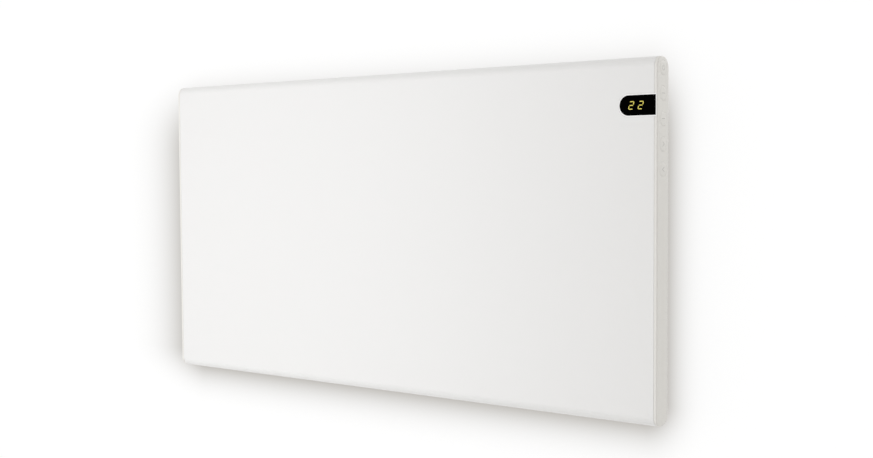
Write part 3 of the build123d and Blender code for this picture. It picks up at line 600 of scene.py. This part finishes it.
def lofted(name, rings):
    """A closed solid through rings that have as many points each."""
    work = bmesh.new()
    rings = [[work.verts.new(point) for point in ring] for ring in rings]
    for ring, after in zip(rings, rings[1:]):
        for place in range(len(ring)):
            follow = (place + 1) % len(ring)
            work.faces.new((ring[place], ring[follow], after[follow], after[place]))
    work.faces.new(rings[0])
    work.faces.new(rings[-1])
    bmesh.ops.recalc_face_normals(work, faces=work.faces)
    return written(work, name)


def pulled(name, outline, axis, low, high):
    """A closed outline, given on the two other axes, pulled along one axis between two values."""
    place = "xyz".index(axis)
    rings = []
    for level in (low, high):
        rings.append([(*point[:place], level, *point[place:]) for point in outline])
    return lofted(name, rings)


def thickened(group, flat):
    """Pulls a flat face into a closed solid: the node for how far, and the node that gives it."""
    pull, base = group.nodes.new("GeometryNodeExtrudeMesh"), group.nodes.new("GeometryNodeFlipFaces")
    closed = group.nodes.new("GeometryNodeJoinGeometry")
    welded = group.nodes.new("GeometryNodeMergeByDistance")
    pull.inputs["Individual"].default_value = False
    welded.inputs["Distance"].default_value = weld_distance
    group.links.new(flat, pull.inputs["Mesh"])
    group.links.new(flat, base.inputs["Mesh"])
    wired(
        group.links,
        (pull, "Mesh", closed, "Geometry"),
        (base, "Mesh", closed, "Geometry"),
        (closed, "Geometry", welded, "Geometry"),
    )
    return pull, welded


def slot_group():
    """Punches a plate with rows of slots that have round ends."""
    kinds = dict(Columns="Int", Rows="Int", Length="Float", Width="Float", Reach="Float", Finish="Material")
    group, entry, leave = group_of("slots", Across="Float", Along="Float", Middle="Vector", **kinds)
    field = group.nodes.new("GeometryNodeMeshGrid")
    outline = group.nodes.new("GeometryNodeCurvePrimitiveQuadrilateral")
    half = group.nodes.new("ShaderNodeMath")
    half.operation = "MULTIPLY"
    half.inputs[1].default_value = round_share
    rounded = group.nodes.new("GeometryNodeFilletCurve")
    rounded.mode = "POLY"
    rounded.inputs["Count"].default_value = slot_steps
    filled = group.nodes.new("GeometryNodeFillCurve")
    filled.mode = "NGONS"
    punch, solid = thickened(group, filled.outputs["Mesh"])
    spread = group.nodes.new("GeometryNodeInstanceOnPoints")
    placed = group.nodes.new("GeometryNodeTransform")
    real = group.nodes.new("GeometryNodeRealizeInstances")
    punched = group.nodes.new("GeometryNodeMeshBoolean")
    punched.operation = "DIFFERENCE"
    wired(
        group.links,
        (entry, "Across", field, "Size X"),
        (entry, "Along", field, "Size Y"),
        (entry, "Columns", field, "Vertices X"),
        (entry, "Rows", field, "Vertices Y"),
        (entry, "Length", outline, "Width"),
        (entry, "Width", outline, "Height"),
        (entry, "Width", half, 0),
        (outline, "Curve", rounded, "Curve"),
        (half, 0, rounded, "Radius"),
        (rounded, "Curve", filled, "Curve"),
        (entry, "Reach", punch, "Offset Scale"),
        (field, "Mesh", spread, "Points"),
        (solid, "Geometry", spread, "Instance"),
        (spread, "Instances", placed, "Geometry"),
        (entry, "Middle", placed, "Translation"),
        (placed, "Geometry", real, "Geometry"),
        (entry, "Geometry", punched, "Mesh 1"),
        (real, "Geometry", punched, "Mesh 2"),
    )
    ended(group, punched.outputs["Mesh"], entry, leave)
    return group


def channel(front, back, face, turn):
    """Section of the grille strip: a shallow channel with both edges folded inwards."""
    inner, bend, core = face - turn * strip_fold, strip_bend, strip_bend - sheet

    def corner(middle, side, radius, turns):
        return [
            (middle + side * radius * math.cos(t), face - turn * (bend - radius * math.sin(t)))
            for t in turns
        ]

    quarter = [math.radians(90) * step / strip_steps for step in range(strip_steps + 1)]
    outside = [(front, inner)] + corner(front + bend, -1, bend, quarter)
    outside += corner(back - bend, 1, bend, quarter[-2::-1]) + [(back, inner)]
    inside = [(back - sheet, inner)] + corner(back - bend, 1, core, quarter)
    inside += corner(front + bend, -1, core, quarter[::-1]) + [(front + sheet, inner)]
    return outside + inside


zinc = spangled("zinc_sheet", (0.66, 0.67, 0.68), cell=0.009, rough=0.38)
dressed("zinc_sheet", zinc, "rear_panel", "right_casing_side", "left_casing_side")
slots = slot_group()
for node, turn in (("outlet_grille", 1), ("inlet_grille", -1)):
    low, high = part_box(node)
    face = high.z if turn > 0 else low.z
    strip = pulled(node, channel(low.y, high.y, face, turn), "x", low.x, high.x)
    strip = grown(
        strip,
        slots,
        Columns=slot_columns,
        Rows=slot_rows,
        Length=slot_length,
        Width=slot_width,
        Reach=4 * sheet,
        Across=slot_pitch * (slot_columns - 1),
        Along=slot_row_pitch * (slot_rows - 1),
        Middle=(0, (low.y + high.y) / 2, face - 2 * sheet),
        Finish=zinc,
    )
    finished(node + "_piece", strip, "heater", "zinc_sheet", zinc, node)

# ------------------------------------------------------------------ hangers and tongues
# Folded, zinc plated steel: two hooks that stand on the hinge pins and two tongues for the clips.
# Each is fixed to the rear panel with two blind rivets.

blind_head_share = 0.8
plated = spangled("zinc_bracket", (0.60, 0.61, 0.62), cell=0.004, rough=0.33)
dressed("zinc_bracket", plated, "right_hanger", "left_hanger", "latch_tongues")
found = islands("hanger_rivets")
blind_rivet = rivet_shape(found[0][1].y, found[0][1].z, rivet_head * blind_head_share)
mesh = in_rows("hanger_rivets", blind_rivet, to_wall, [middle for middle, size in found], bright_zinc)
finished("hanger_rivets_piece", mesh, "heater", "plated_screw", bright_zinc, "hanger_rivets")

# ------------------------------------------------------------------ screws of the casing
# Zinc plated sheet metal screws, with a low round head and a cross recess.
# They hold the rear panel to the sides of the duct.

screw_head, screw_shank = 0.0022, 0.004
# Foot and crest of a thread ring as shares of the pitch, core of the shank and point of the core.
thread_rings, thread_foot, thread_crest = 7, 0.25, 0.55
core_share, point_share = 0.78, 0.6
recess_width, recess_reach, recess_depth, recess_over = 0.0009, 0.0019, 0.0012, 0.001


def cut(mesh, *tools, operation="DIFFERENCE"):
    """A mesh with the shapes of some tools taken out of it, or melted into it."""
    holder = shown("holder", mesh)
    cutters = [shown("cutter", tool) for tool in tools]
    for cutter in cutters:
        step = holder.modifiers.new("cut", "BOOLEAN")
        step.operation = operation
        step.solver = "EXACT"
        step.object = cutter
    return taken(holder, *cutters)


def screw_shape(length, head_width, head_height, shank_width):
    """A screw with a ringed shank, a domed head and a cross recess, its middle at the origin."""
    low, seat, top = -length / 2, length / 2 - head_height, length / 2
    outer, core = shank_width / 2, shank_width / 2 * core_share
    profile = [(0, low), (core * point_share, low)]
    pitch = (seat - low) / thread_rings
    for ring in range(thread_rings):
        start = low + ring * pitch
        profile += [(core, start + pitch * thread_foot), (outer, start + pitch * thread_crest)]
    profile += [(core, seat)] + dome(head_width / 2, seat, head_height)
    narrow, wide = recess_width / 2, recess_reach
    corners = [(wide, narrow), (narrow, narrow), (narrow, wide)]
    cross = list(corners)
    for turn in range(3):
        corners = [(-v, u) for u, v in corners]
        cross += corners
    recess = pulled("recess", cross, "z", top - recess_depth, top + recess_over)
    return cut(turned("screw", profile), recess)


def screws(name, body, slot, material):
    """Replaces the screws of one node, which all point into the room."""
    found = islands(name)
    size = found[0][1]
    master = screw_shape(size.y, size.x, screw_head, screw_shank)
    mesh = in_rows(name, master, to_wall, [middle for middle, size in found], material)
    finished(name + "_piece", mesh, body, slot, material, name)


screws("casing_screws", "heater", "plated_screw", bright_zinc)

# ------------------------------------------------------------------ heat shield
# Zinc coated sheet that closes the shell behind and carries the duct, with its earth screw
# and the rubber ring that the element's leads pass through.

brass = grained("brass", (0.72, 0.56, 0.26), vary=0.06, grain=700, rough=0.3, metal=1.0)
dressed("zinc_sheet", zinc, "heat_shield")
dressed("black_rubber", rubber, "wire_grommet")
screws("earth_screw", "heater", "brass_screw", brass)

# ------------------------------------------------------------------ heating element
# A steel sheathed hairpin rod with thin aluminium fins pressed on both its passes.
# Each fin is drawn out into a short collar where the rod passes.

collar_length, collar_wall = 0.0022, 0.0006
fin_corner, fin_gap, fin_drill = 0.003, 0.00005, 0.01


def fin_pack_group():
    """Repeats one fin at an even pitch along X."""
    group, entry, leave = group_of(
        "fin_pack", Fin="Object", Count="Int", Start="Vector", Pitch="Vector", Finish="Material"
    )
    line = group.nodes.new("GeometryNodeMeshLine")
    piece = group.nodes.new("GeometryNodeObjectInfo")
    spread = group.nodes.new("GeometryNodeInstanceOnPoints")
    wired(
        group.links,
        (entry, "Count", line, "Count"),
        (entry, "Start", line, "Start Location"),
        (entry, "Pitch", line, "Offset"),
        (entry, "Fin", piece, "Object"),
        (line, "Mesh", spread, "Points"),
        (piece, "Geometry", spread, "Instance"),
    )
    ended(group, spread.outputs["Instances"], entry, leave)
    return group


def set_across(mesh, y, z):
    """Turns a mesh's Z axis to X and moves it to a place in the two other axes."""
    mesh.transform(Matrix.Translation((0, y, z)) @ Matrix.Rotation(math.radians(90), 4, "Y"))
    return mesh


def fin_shape(thickness, low, high, rod, heights):
    """One fin at the origin of X: a plate with cut corners, two holes and their collars."""
    corner = fin_corner
    plate = [(low.y + corner, low.z), (high.y - corner, low.z), (high.y, low.z + corner)]
    plate += [(high.y, high.z - corner), (high.y - corner, high.z), (low.y + corner, high.z)]
    plate += [(low.y, high.z - corner), (low.y, low.z + corner)]
    middle = (low.y + high.y) / 2
    bore = rod + fin_gap
    tools, collars = [], []
    for z in heights:
        hole = [(0, -fin_drill), (bore, -fin_drill), (bore, fin_drill), (0, fin_drill)]
        tools.append(set_across(turned("hole", hole), middle, z))
        rim, foot = bore + collar_wall, thickness / 2
        collar = [(bore, foot), (rim, foot), (rim, collar_length), (bore, collar_length), (bore, foot)]
        collars.append(set_across(turned("collar", collar), middle, z))
    plate = pulled("fin", plate, "x", -thickness / 2, thickness / 2)
    return joined("fin", cut(plate, *tools), *collars)


sheath = grained("rod_sheath", (0.35, 0.34, 0.33), vary=0.12, grain=300, rough=0.45, metal=1.0)
fin_metal = grained("fin_aluminium", (0.80, 0.80, 0.80), vary=0.05, grain=250, rough=0.3, metal=1.0)
dressed("rod_sheath", sheath, "heating_rod")
fins = sorted(islands("element_fins"), key=lambda found: found[0].x)
middle, size = fins[0]
rod_low, rod_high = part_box("heating_rod")
rod_radius = (rod_high.y - rod_low.y) / 2
heights = (rod_low.z + rod_radius, rod_high.z - rod_radius)
fin = shown("fin", fin_shape(size.x, middle - size / 2, middle + size / 2, rod_radius, heights))
mesh = grown(
    bpy.data.meshes.new("fins"),
    fin_pack_group(),
    Fin=fin,
    Count=len(fins),
    Start=(middle.x, 0, 0),
    Pitch=(fins[1][0].x - middle.x, 0, 0),
    Finish=fin_metal,
)
bpy.data.objects.remove(fin)
finished("element_fins_piece", mesh, "heater", "fin_aluminium", fin_metal, "element_fins")

# ------------------------------------------------------------------ supports of the element
# Plated steel brackets with ceramic bushes hold the rod, and a small foot over its middle
# holds the safety cutout, a ceramic disc with two flat terminals.

ceramic = grained("ceramic", (0.86, 0.84, 0.78), vary=0.03, grain=800, rough=0.6, relief=4e-5)
dressed("zinc_bracket", plated, "right_element_bracket", "left_element_bracket", "cutout_bracket")
dressed("ceramic", ceramic, "element_bushings", "thermal_cutout")

# ------------------------------------------------------------------ power board
# Green glass fibre board on four black posts behind the shell's lower right corner, with a relay,
# a mains filter capacitor and the three way screw terminal of the mains lead.

black_plastic = grained("black_moulding", (0.03, 0.03, 0.032), vary=0.15, grain=900, rough=0.5, relief=3e-5)
solder_mask = grained("circuit_board", (0.04, 0.20, 0.09), vary=0.2, grain=320, rough=0.35)
yellow_case = grained("component_case", (0.75, 0.55, 0.12), vary=0.03, grain=400, rough=0.3)
green_case = grained("terminal_case", (0.12, 0.35, 0.22), vary=0.04, grain=400, rough=0.45)
dressed("circuit_board", solder_mask, "power_board", "control_board")
dressed("black_moulding", black_plastic, "board_standoffs", "relay", "tact_switches")
dressed("component_case", yellow_case, "film_capacitor")
dressed("terminal_case", green_case, "terminal_block")

# ------------------------------------------------------------------ leads and gland
# Red brown silicone leads run from the rod to the relay, a grey cable up to the keys' board.
# The gland for the mains lead and its nut are black plastic, as is the room sensor's clip.

silicone = grained("silicone_lead", (0.50, 0.12, 0.08), vary=0.05, grain=500, rough=0.5)
grey_cover = grained("lead_cover", (0.60, 0.60, 0.62), vary=0.03, grain=500, rough=0.4)
dressed("silicone_lead", silicone, "element_leads")
dressed("lead_cover", grey_cover, "control_cable")
dressed("black_moulding", black_plastic, "cable_gland", "gland_nut", "room_sensor")

# ------------------------------------------------------------------ front shell
# One steel sheet, rolled over at the top and the bottom into lips behind, in satin white enamel.
# It is made as its side outline pulled to length, and notched at the right for the display.

front_top_radius, rear_top_radius = 0.011, 0.012
front_bottom_radius, rear_bottom_radius = 0.010, 0.010
rear_lip = 0.008
bend_steps = 18
bezel_rim, bezel_gap = 0.0014, 0.00005
hole_drill, past_end = 0.004, 1.0


def shell_line(inset):
    """Side line of the rolled sheet, from the end of its upper lip round the front to the lower."""
    back, front = shell_high.y - inset, shell_low.y + inset
    top, bottom = shell_high.z - inset, shell_low.z + inset
    upper_lip = shell_high.z - rear_top_radius - rear_lip
    lower_lip = shell_low.z + rear_bottom_radius + rear_lip
    line = [(back, upper_lip)]
    for start, y, z, radius in (
        (0, back, top, rear_top_radius - inset),
        (90, front, top, front_top_radius - inset),
        (180, front, bottom, front_bottom_radius - inset),
        (270, back, bottom, rear_bottom_radius - inset),
    ):
        inward_y = y + math.copysign(radius, shell_middle - y)
        inward_z = z - math.copysign(radius, z)
        line += bent((inward_y, inward_z), radius, start, bend_steps)
    return line + [(back, lower_lip)]


def pull_group():
    """Pulls a flat outline into a closed solid."""
    group, entry, leave = group_of("pulled_sheet", Pull="Vector", Finish="Material")
    pull, solid = thickened(group, entry.outputs["Geometry"])
    group.links.new(entry.outputs["Pull"], pull.inputs["Offset"])
    ended(group, solid.outputs["Geometry"], entry, leave)
    return group


def lobe(grow, right):
    """Outline of the display: a round left end and two straight edges that run to the right."""
    radius = (window_high.z - window_low.z) / 2 + grow
    middle = (window_low.x + (window_high.z - window_low.z) / 2, (window_high.z + window_low.z) / 2)
    points = bent(middle, radius, 90, bend_steps) + bent(middle, radius, 180, bend_steps)[1:]
    return points + [(right, middle[1] - radius), (right, middle[1] + radius)]


def screw_holes(*nodes):
    """Tools for the round holes of the screws of some nodes."""
    radius = screw_shank / 2 + fin_gap
    tools = []
    for node in nodes:
        for middle, size in islands(node):
            profile = [(0, -hole_drill), (radius, -hole_drill), (radius, hole_drill), (0, hole_drill)]
            hole = turned("hole", profile)
            hole.transform(Matrix.Translation(middle) @ Matrix.Rotation(math.radians(90), 4, "X"))
            tools.append(hole)
    return joined("holes", *tools)


enamel = grained("white_enamel", (0.86, 0.86, 0.85), vary=0.008, grain=1200, rough=0.38, relief=3e-5)
shell_low, shell_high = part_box("front_panel")
window_low, window_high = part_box("display_window")
shell_middle = (shell_low.y + shell_high.y) / 2
outline = shell_line(0) + shell_line(sheet)[::-1]
flat = bpy.data.meshes.new("outline")
flat.from_pydata([(shell_low.x, y, z) for y, z in outline], [], [tuple(range(len(outline)))[::-1]])
mesh = grown(flat, pull_group(), Pull=(shell_high.x - shell_low.x, 0, 0), Finish=enamel)
notch = lobe(bezel_rim + bezel_gap, past_end)
notch = pulled("notch", notch, "y", shell_low.y - sheet, shell_low.y + 2 * sheet)
mesh = cut(mesh, notch, screw_holes("lip_screws", "cap_screws"))
finished("front_panel_piece", mesh, "heater", "white_enamel", enamel, "front_panel")

# ------------------------------------------------------------------ end caps
# Matt white mouldings that close the shell: a plate with a rounded rim, a spigot that slips into
# the sheet, and two bosses for the screws behind. The right one has five holes for the keys.

moulding_white = (0.84, 0.828, 0.79)
cap_edge_radius, cap_wall, cap_length = 0.0014, 0.002, 0.0034
rim_steps = 7
spigot_step, spigot_wall = 0.00115, 0.0016
boss_depth, boss_start = 0.0066, 0.002
key_flange_reach, key_gap = 0.0014, 0.00025
hole_edge, key_hole_depth = 0.00006, 0.004


def shell_ring(x, inset):
    """Side outline of the closed shell at one X, drawn in by an inset."""
    return [(x, y, z) for y, z in shell_line(inset)[1:-1]]


def cap_shape(side):
    """The plain cap of one side, from its hollow out over the spigot and the rounded rim."""
    rings = [shell_ring(side * (cap_face - cap_wall), spigot_step + spigot_wall)]
    rings.append(shell_ring(side * spigot_end, spigot_step + spigot_wall))
    rings.append(shell_ring(side * spigot_end, spigot_step))
    rings.append(shell_ring(side * seam, spigot_step))
    rings.append(shell_ring(side * seam, 0))
    for step in range(rim_steps + 1):
        turn = math.radians(90) * step / rim_steps
        x = cap_face - cap_edge_radius * (1 - math.sin(turn))
        rings.append(shell_ring(side * x, cap_edge_radius * (1 - math.cos(turn))))
    bosses = []
    radius = screw_shank / 2
    for middle, size in islands("cap_screws"):
        if middle.x * side > 0:
            low, high = shell_high.y - boss_depth, shell_high.y - boss_start
            pilot = shell_high.y - boss_depth + spigot_wall
            profile = [(0, low), (radius + spigot_wall, low), (radius + spigot_wall, high)]
            boss = turned("boss", profile + [(radius, high), (radius, pilot), (0, pilot)])
            place = Matrix.Translation((middle.x, 0, middle.z))
            boss.transform(place @ Matrix.Rotation(math.radians(-90), 4, "X"))
            bosses.append(boss)
    return lofted("cap", rings), bosses


def box_tool(x, y, z):
    """A block between two values on each axis."""
    return pulled("block", [(x[0], z[0]), (x[1], z[0]), (x[1], z[1]), (x[0], z[1])], "y", *y)


white_plastic = grained("white_moulding", moulding_white, vary=0.008, grain=1500, rough=0.5, relief=2e-5)
cap_low, cap_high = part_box("right_end_cap")
spigot_end, cap_face = cap_low.x, cap_high.x
seam = cap_face - cap_length
plain, bosses = cap_shape(-1)
capped = joined("cap", plain, *bosses)
finished("left_end_cap_piece", capped, "heater", "white_moulding", white_plastic, "left_end_cap")

tools = []
keys = ("power_key", "comfort_key", "setback_key", "up_key", "down_key")
key_radius = islands("power_key")[0][1].y / 2 - key_flange_reach
for node in keys:
    low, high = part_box(node)
    radius = key_radius + key_gap
    inside = cap_face - key_hole_depth
    profile = [(0, inside), (radius, inside), (radius, cap_face - hole_edge)]
    profile += [(radius + 2 * hole_edge, cap_face + hole_edge), (0, cap_face + hole_edge)]
    tools.append(set_across(turned("key_hole", profile), (low.y + high.y) / 2, (low.z + high.z) / 2))
bezel_low, bezel_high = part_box("display_bezel")
window_z = (window_low.z + window_high.z) / 2
reach = (window_high.z - window_low.z) / 2 + bezel_rim + bezel_gap
front = shell_low.y
notch_z = (window_z - reach, window_z + reach)
seat = box_tool((seam - sheet, bezel_high.x + bezel_gap), (front - sheet, bezel_high.y), notch_z)
flange_z = (bezel_low.z - bezel_gap, bezel_high.z + bezel_gap)
pocket = box_tool((spigot_end - sheet, seam), (front, bezel_high.y + sheet), flange_z)
plain, bosses = cap_shape(1)
capped = joined("cap", cut(plain, joined("key_holes", *tools), seat, pocket), *bosses)
finished("right_end_cap_piece", capped, "heater", "white_moulding", white_plastic, "right_end_cap")

# ------------------------------------------------------------------ display
# A white moulded frame, held behind the notch by its flange, with a polished black window.
# Behind the window a module lights two figures, whose bars are seen at its face.

window_set_back = 0.00005
bezel_flange, flange_short, bezel_edge, edge_steps = 0.003, 0.0003, 0.0003, 3
module_board_margin = 0.0018
bar_glow, bar_power = (0.60, 0.51, 0.07), 0.9
bar_stroke, bar_depth = 0.0008, 0.0001
figure_slant = math.radians(10)


def bezel_shape():
    """The frame: a rim with an eased edge, its flange, the window's pocket and the module's hole."""
    low, high = bezel_low, bezel_high
    rings = []
    for step in range(edge_steps + 1):
        turn = math.radians(90) * step / edge_steps
        inset = bezel_edge * (1 - math.sin(turn))
        y = low.y + bezel_edge * (1 - math.cos(turn))
        rings.append([(x, y, z) for x, z in lobe(bezel_rim - inset, high.x - inset)])
    rings.append([(x, high.y, z) for x, z in lobe(bezel_rim, high.x)])
    flange = lobe(bezel_rim + bezel_flange, seam - flange_short)
    flange = pulled("flange", flange, "y", low.y + sheet + bezel_gap, high.y)
    body = cut(lofted("bezel", rings), flange, operation="UNION")
    pocket = lobe(bezel_gap, window_high.x + bezel_gap)
    pocket = pulled("pocket", pocket, "y", low.y - sheet, window_high.y)
    module_low, module_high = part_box("display_module")
    inset = module_board_margin - 2 * bezel_gap
    hole_x = (module_low.x + inset, module_high.x - inset)
    hole = box_tool(hole_x, (low.y, high.y + sheet), (module_low.z + inset, module_high.z - inset))
    return cut(body, pocket, hole)


def bar_shape(middle, size, face):
    """One lit bar with pointed ends, lying or leaning like the module's own."""
    half = bar_stroke / 2
    reach = max(size.x, size.z) / 2
    line = [(reach - half, -half), (reach, 0), (reach - half, half)]
    line += [(-u, -v) for u, v in line]
    if size.z > size.x:
        line = [(u * math.tan(figure_slant) - v, u) for u, v in line]
    outline = [(middle.x + u, middle.z + v) for u, v in line]
    return pulled("bar", outline, "y", face, face + bar_depth)


rim_white = grained("rim_white", (0.98, 0.98, 0.97), vary=0.005, grain=1500, rough=0.3)
smoked = grained("dark_window", (0.001, 0.001, 0.001), vary=0.1, grain=500, rough=0.08)
smoked.node_tree.nodes["Principled BSDF"].inputs["Specular IOR Level"].default_value = 0.0
lit = grained("lit_figures", (0.30, 0.27, 0.05), vary=0.05, grain=800, rough=0.4)
lit_body = lit.node_tree.nodes["Principled BSDF"]
lit_body.inputs["Emission Color"].default_value = (*bar_glow, 1)
lit_body.inputs["Emission Strength"].default_value = bar_power
finished("display_bezel_piece", bezel_shape(), "heater", "white_moulding", rim_white, "display_bezel")
dressed("black_moulding", black_plastic, "display_module")
face = window_low.y + window_set_back
window = pulled("window", lobe(0, window_high.x), "y", face, window_high.y)
finished("display_window_piece", window, "heater", "dark_window", smoked, "display_window")
bars = [bar_shape(middle, size, window_low.y) for middle, size in islands("display_segments")]
finished("display_segments_piece", joined("bars", *bars), "heater", "lit_figures", lit, "display_segments")

# ------------------------------------------------------------------ keys
# Five round matt white mouldings, each with a flange behind the cap that keeps it in its hole.
# Their faces fall away softly round the edge, and each has a thin grey sign printed on it.

key_flange_radius, key_flange_back, key_flange_wall = 0.0086, 0.0024, 0.001
key_stem_radius, key_front_growth = 0.0025, 0.00014
key_crown, key_steps, key_fall = 0.00035, 12, 7
print_depth, print_stroke = 0.00004, 0.0005
sign_reach, dash_reach = 0.0028, 0.0032
ring_start, ring_turn, ring_steps = 130, 280, 20
# Ends of the power sign's bar and half sizes of a point, as shares of the sign's reach.
bar_foot, bar_tip, point_reach, point_spread = 0.2, 1.1, 0.7, 0.85


def key_shape(low, high):
    """One key from its stem to its face, which falls away round the edge."""
    back, front = low.x, high.x - print_depth / 2
    flange = high.x - key_flange_back
    profile = [(0, back), (key_stem_radius, back), (key_stem_radius, flange - key_flange_wall)]
    profile += [(key_flange_radius, flange - key_flange_wall), (key_flange_radius, flange)]
    radius = key_radius + key_front_growth
    profile.append((radius, flange))
    for step in range(key_steps):
        share = 1 - (step / key_steps) ** 2
        profile.append((radius * share, front - key_crown * share**key_fall))
    return set_across(turned("key", profile + [(0, front)]), (low.y + high.y) / 2, (low.z + high.z) / 2)


def stroke(start, end):
    """A short bar of the print between two points of the key's face."""
    start, end = Vector(start), Vector(end)
    side = (end - start).orthogonal().normalized() * print_stroke / 2
    return [tuple(point) for point in (start - side, end - side, end + side, start + side)]


def power_sign():
    """An open ring with a bar in its gap."""
    turns = [math.radians(ring_start + ring_turn * step / ring_steps) for step in range(ring_steps + 1)]
    inner, outer = sign_reach - print_stroke, sign_reach
    arc = [(outer * math.cos(t), outer * math.sin(t)) for t in turns]
    arc += [(inner * math.cos(t), inner * math.sin(t)) for t in reversed(turns)]
    return [arc, stroke((0, sign_reach * bar_foot), (0, sign_reach * bar_tip))]


def arrow_sign(way):
    """Two strokes that meet in a point towards the wall or the room."""
    tip, spread = way * sign_reach * point_reach, sign_reach * point_spread
    return [stroke((-tip, spread), (tip, 0)), stroke((tip, 0), (-tip, -spread))]


dash = [stroke((-dash_reach, 0), (dash_reach, 0))]
signs = dict(zip(keys, (power_sign(), dash, dash, arrow_sign(1), arrow_sign(-1))))
key_plastic = grained("key_moulding", moulding_white, vary=0.008, grain=1500, rough=0.5, relief=2e-5)
grey_print = grained("grey_print", (0.50, 0.50, 0.48), vary=0.05, grain=900, rough=0.6)
for node in keys:
    low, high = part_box(node)
    middle_y, middle_z = (low.y + high.y) / 2, (low.z + high.z) / 2
    finished(node + "_piece", key_shape(low, high), node, "key_moulding", key_plastic, node)
    prints = []
    for outline in signs[node]:
        moved = [(middle_y + y, middle_z + z) for y, z in outline]
        prints.append(pulled("sign", moved, "x", high.x - 2 * print_depth, high.x))
    finished(node + "_sign", joined("sign", *prints), node, "key_moulding", grey_print)

# ------------------------------------------------------------------ screws behind the shell
# The same sheet metal screws hold the heat shield to the shell's rear lips
# and the two end caps by their bosses.

screws("lip_screws", "heater", "plated_screw", bright_zinc)
screws("cap_screws", "heater", "plated_screw", bright_zinc)
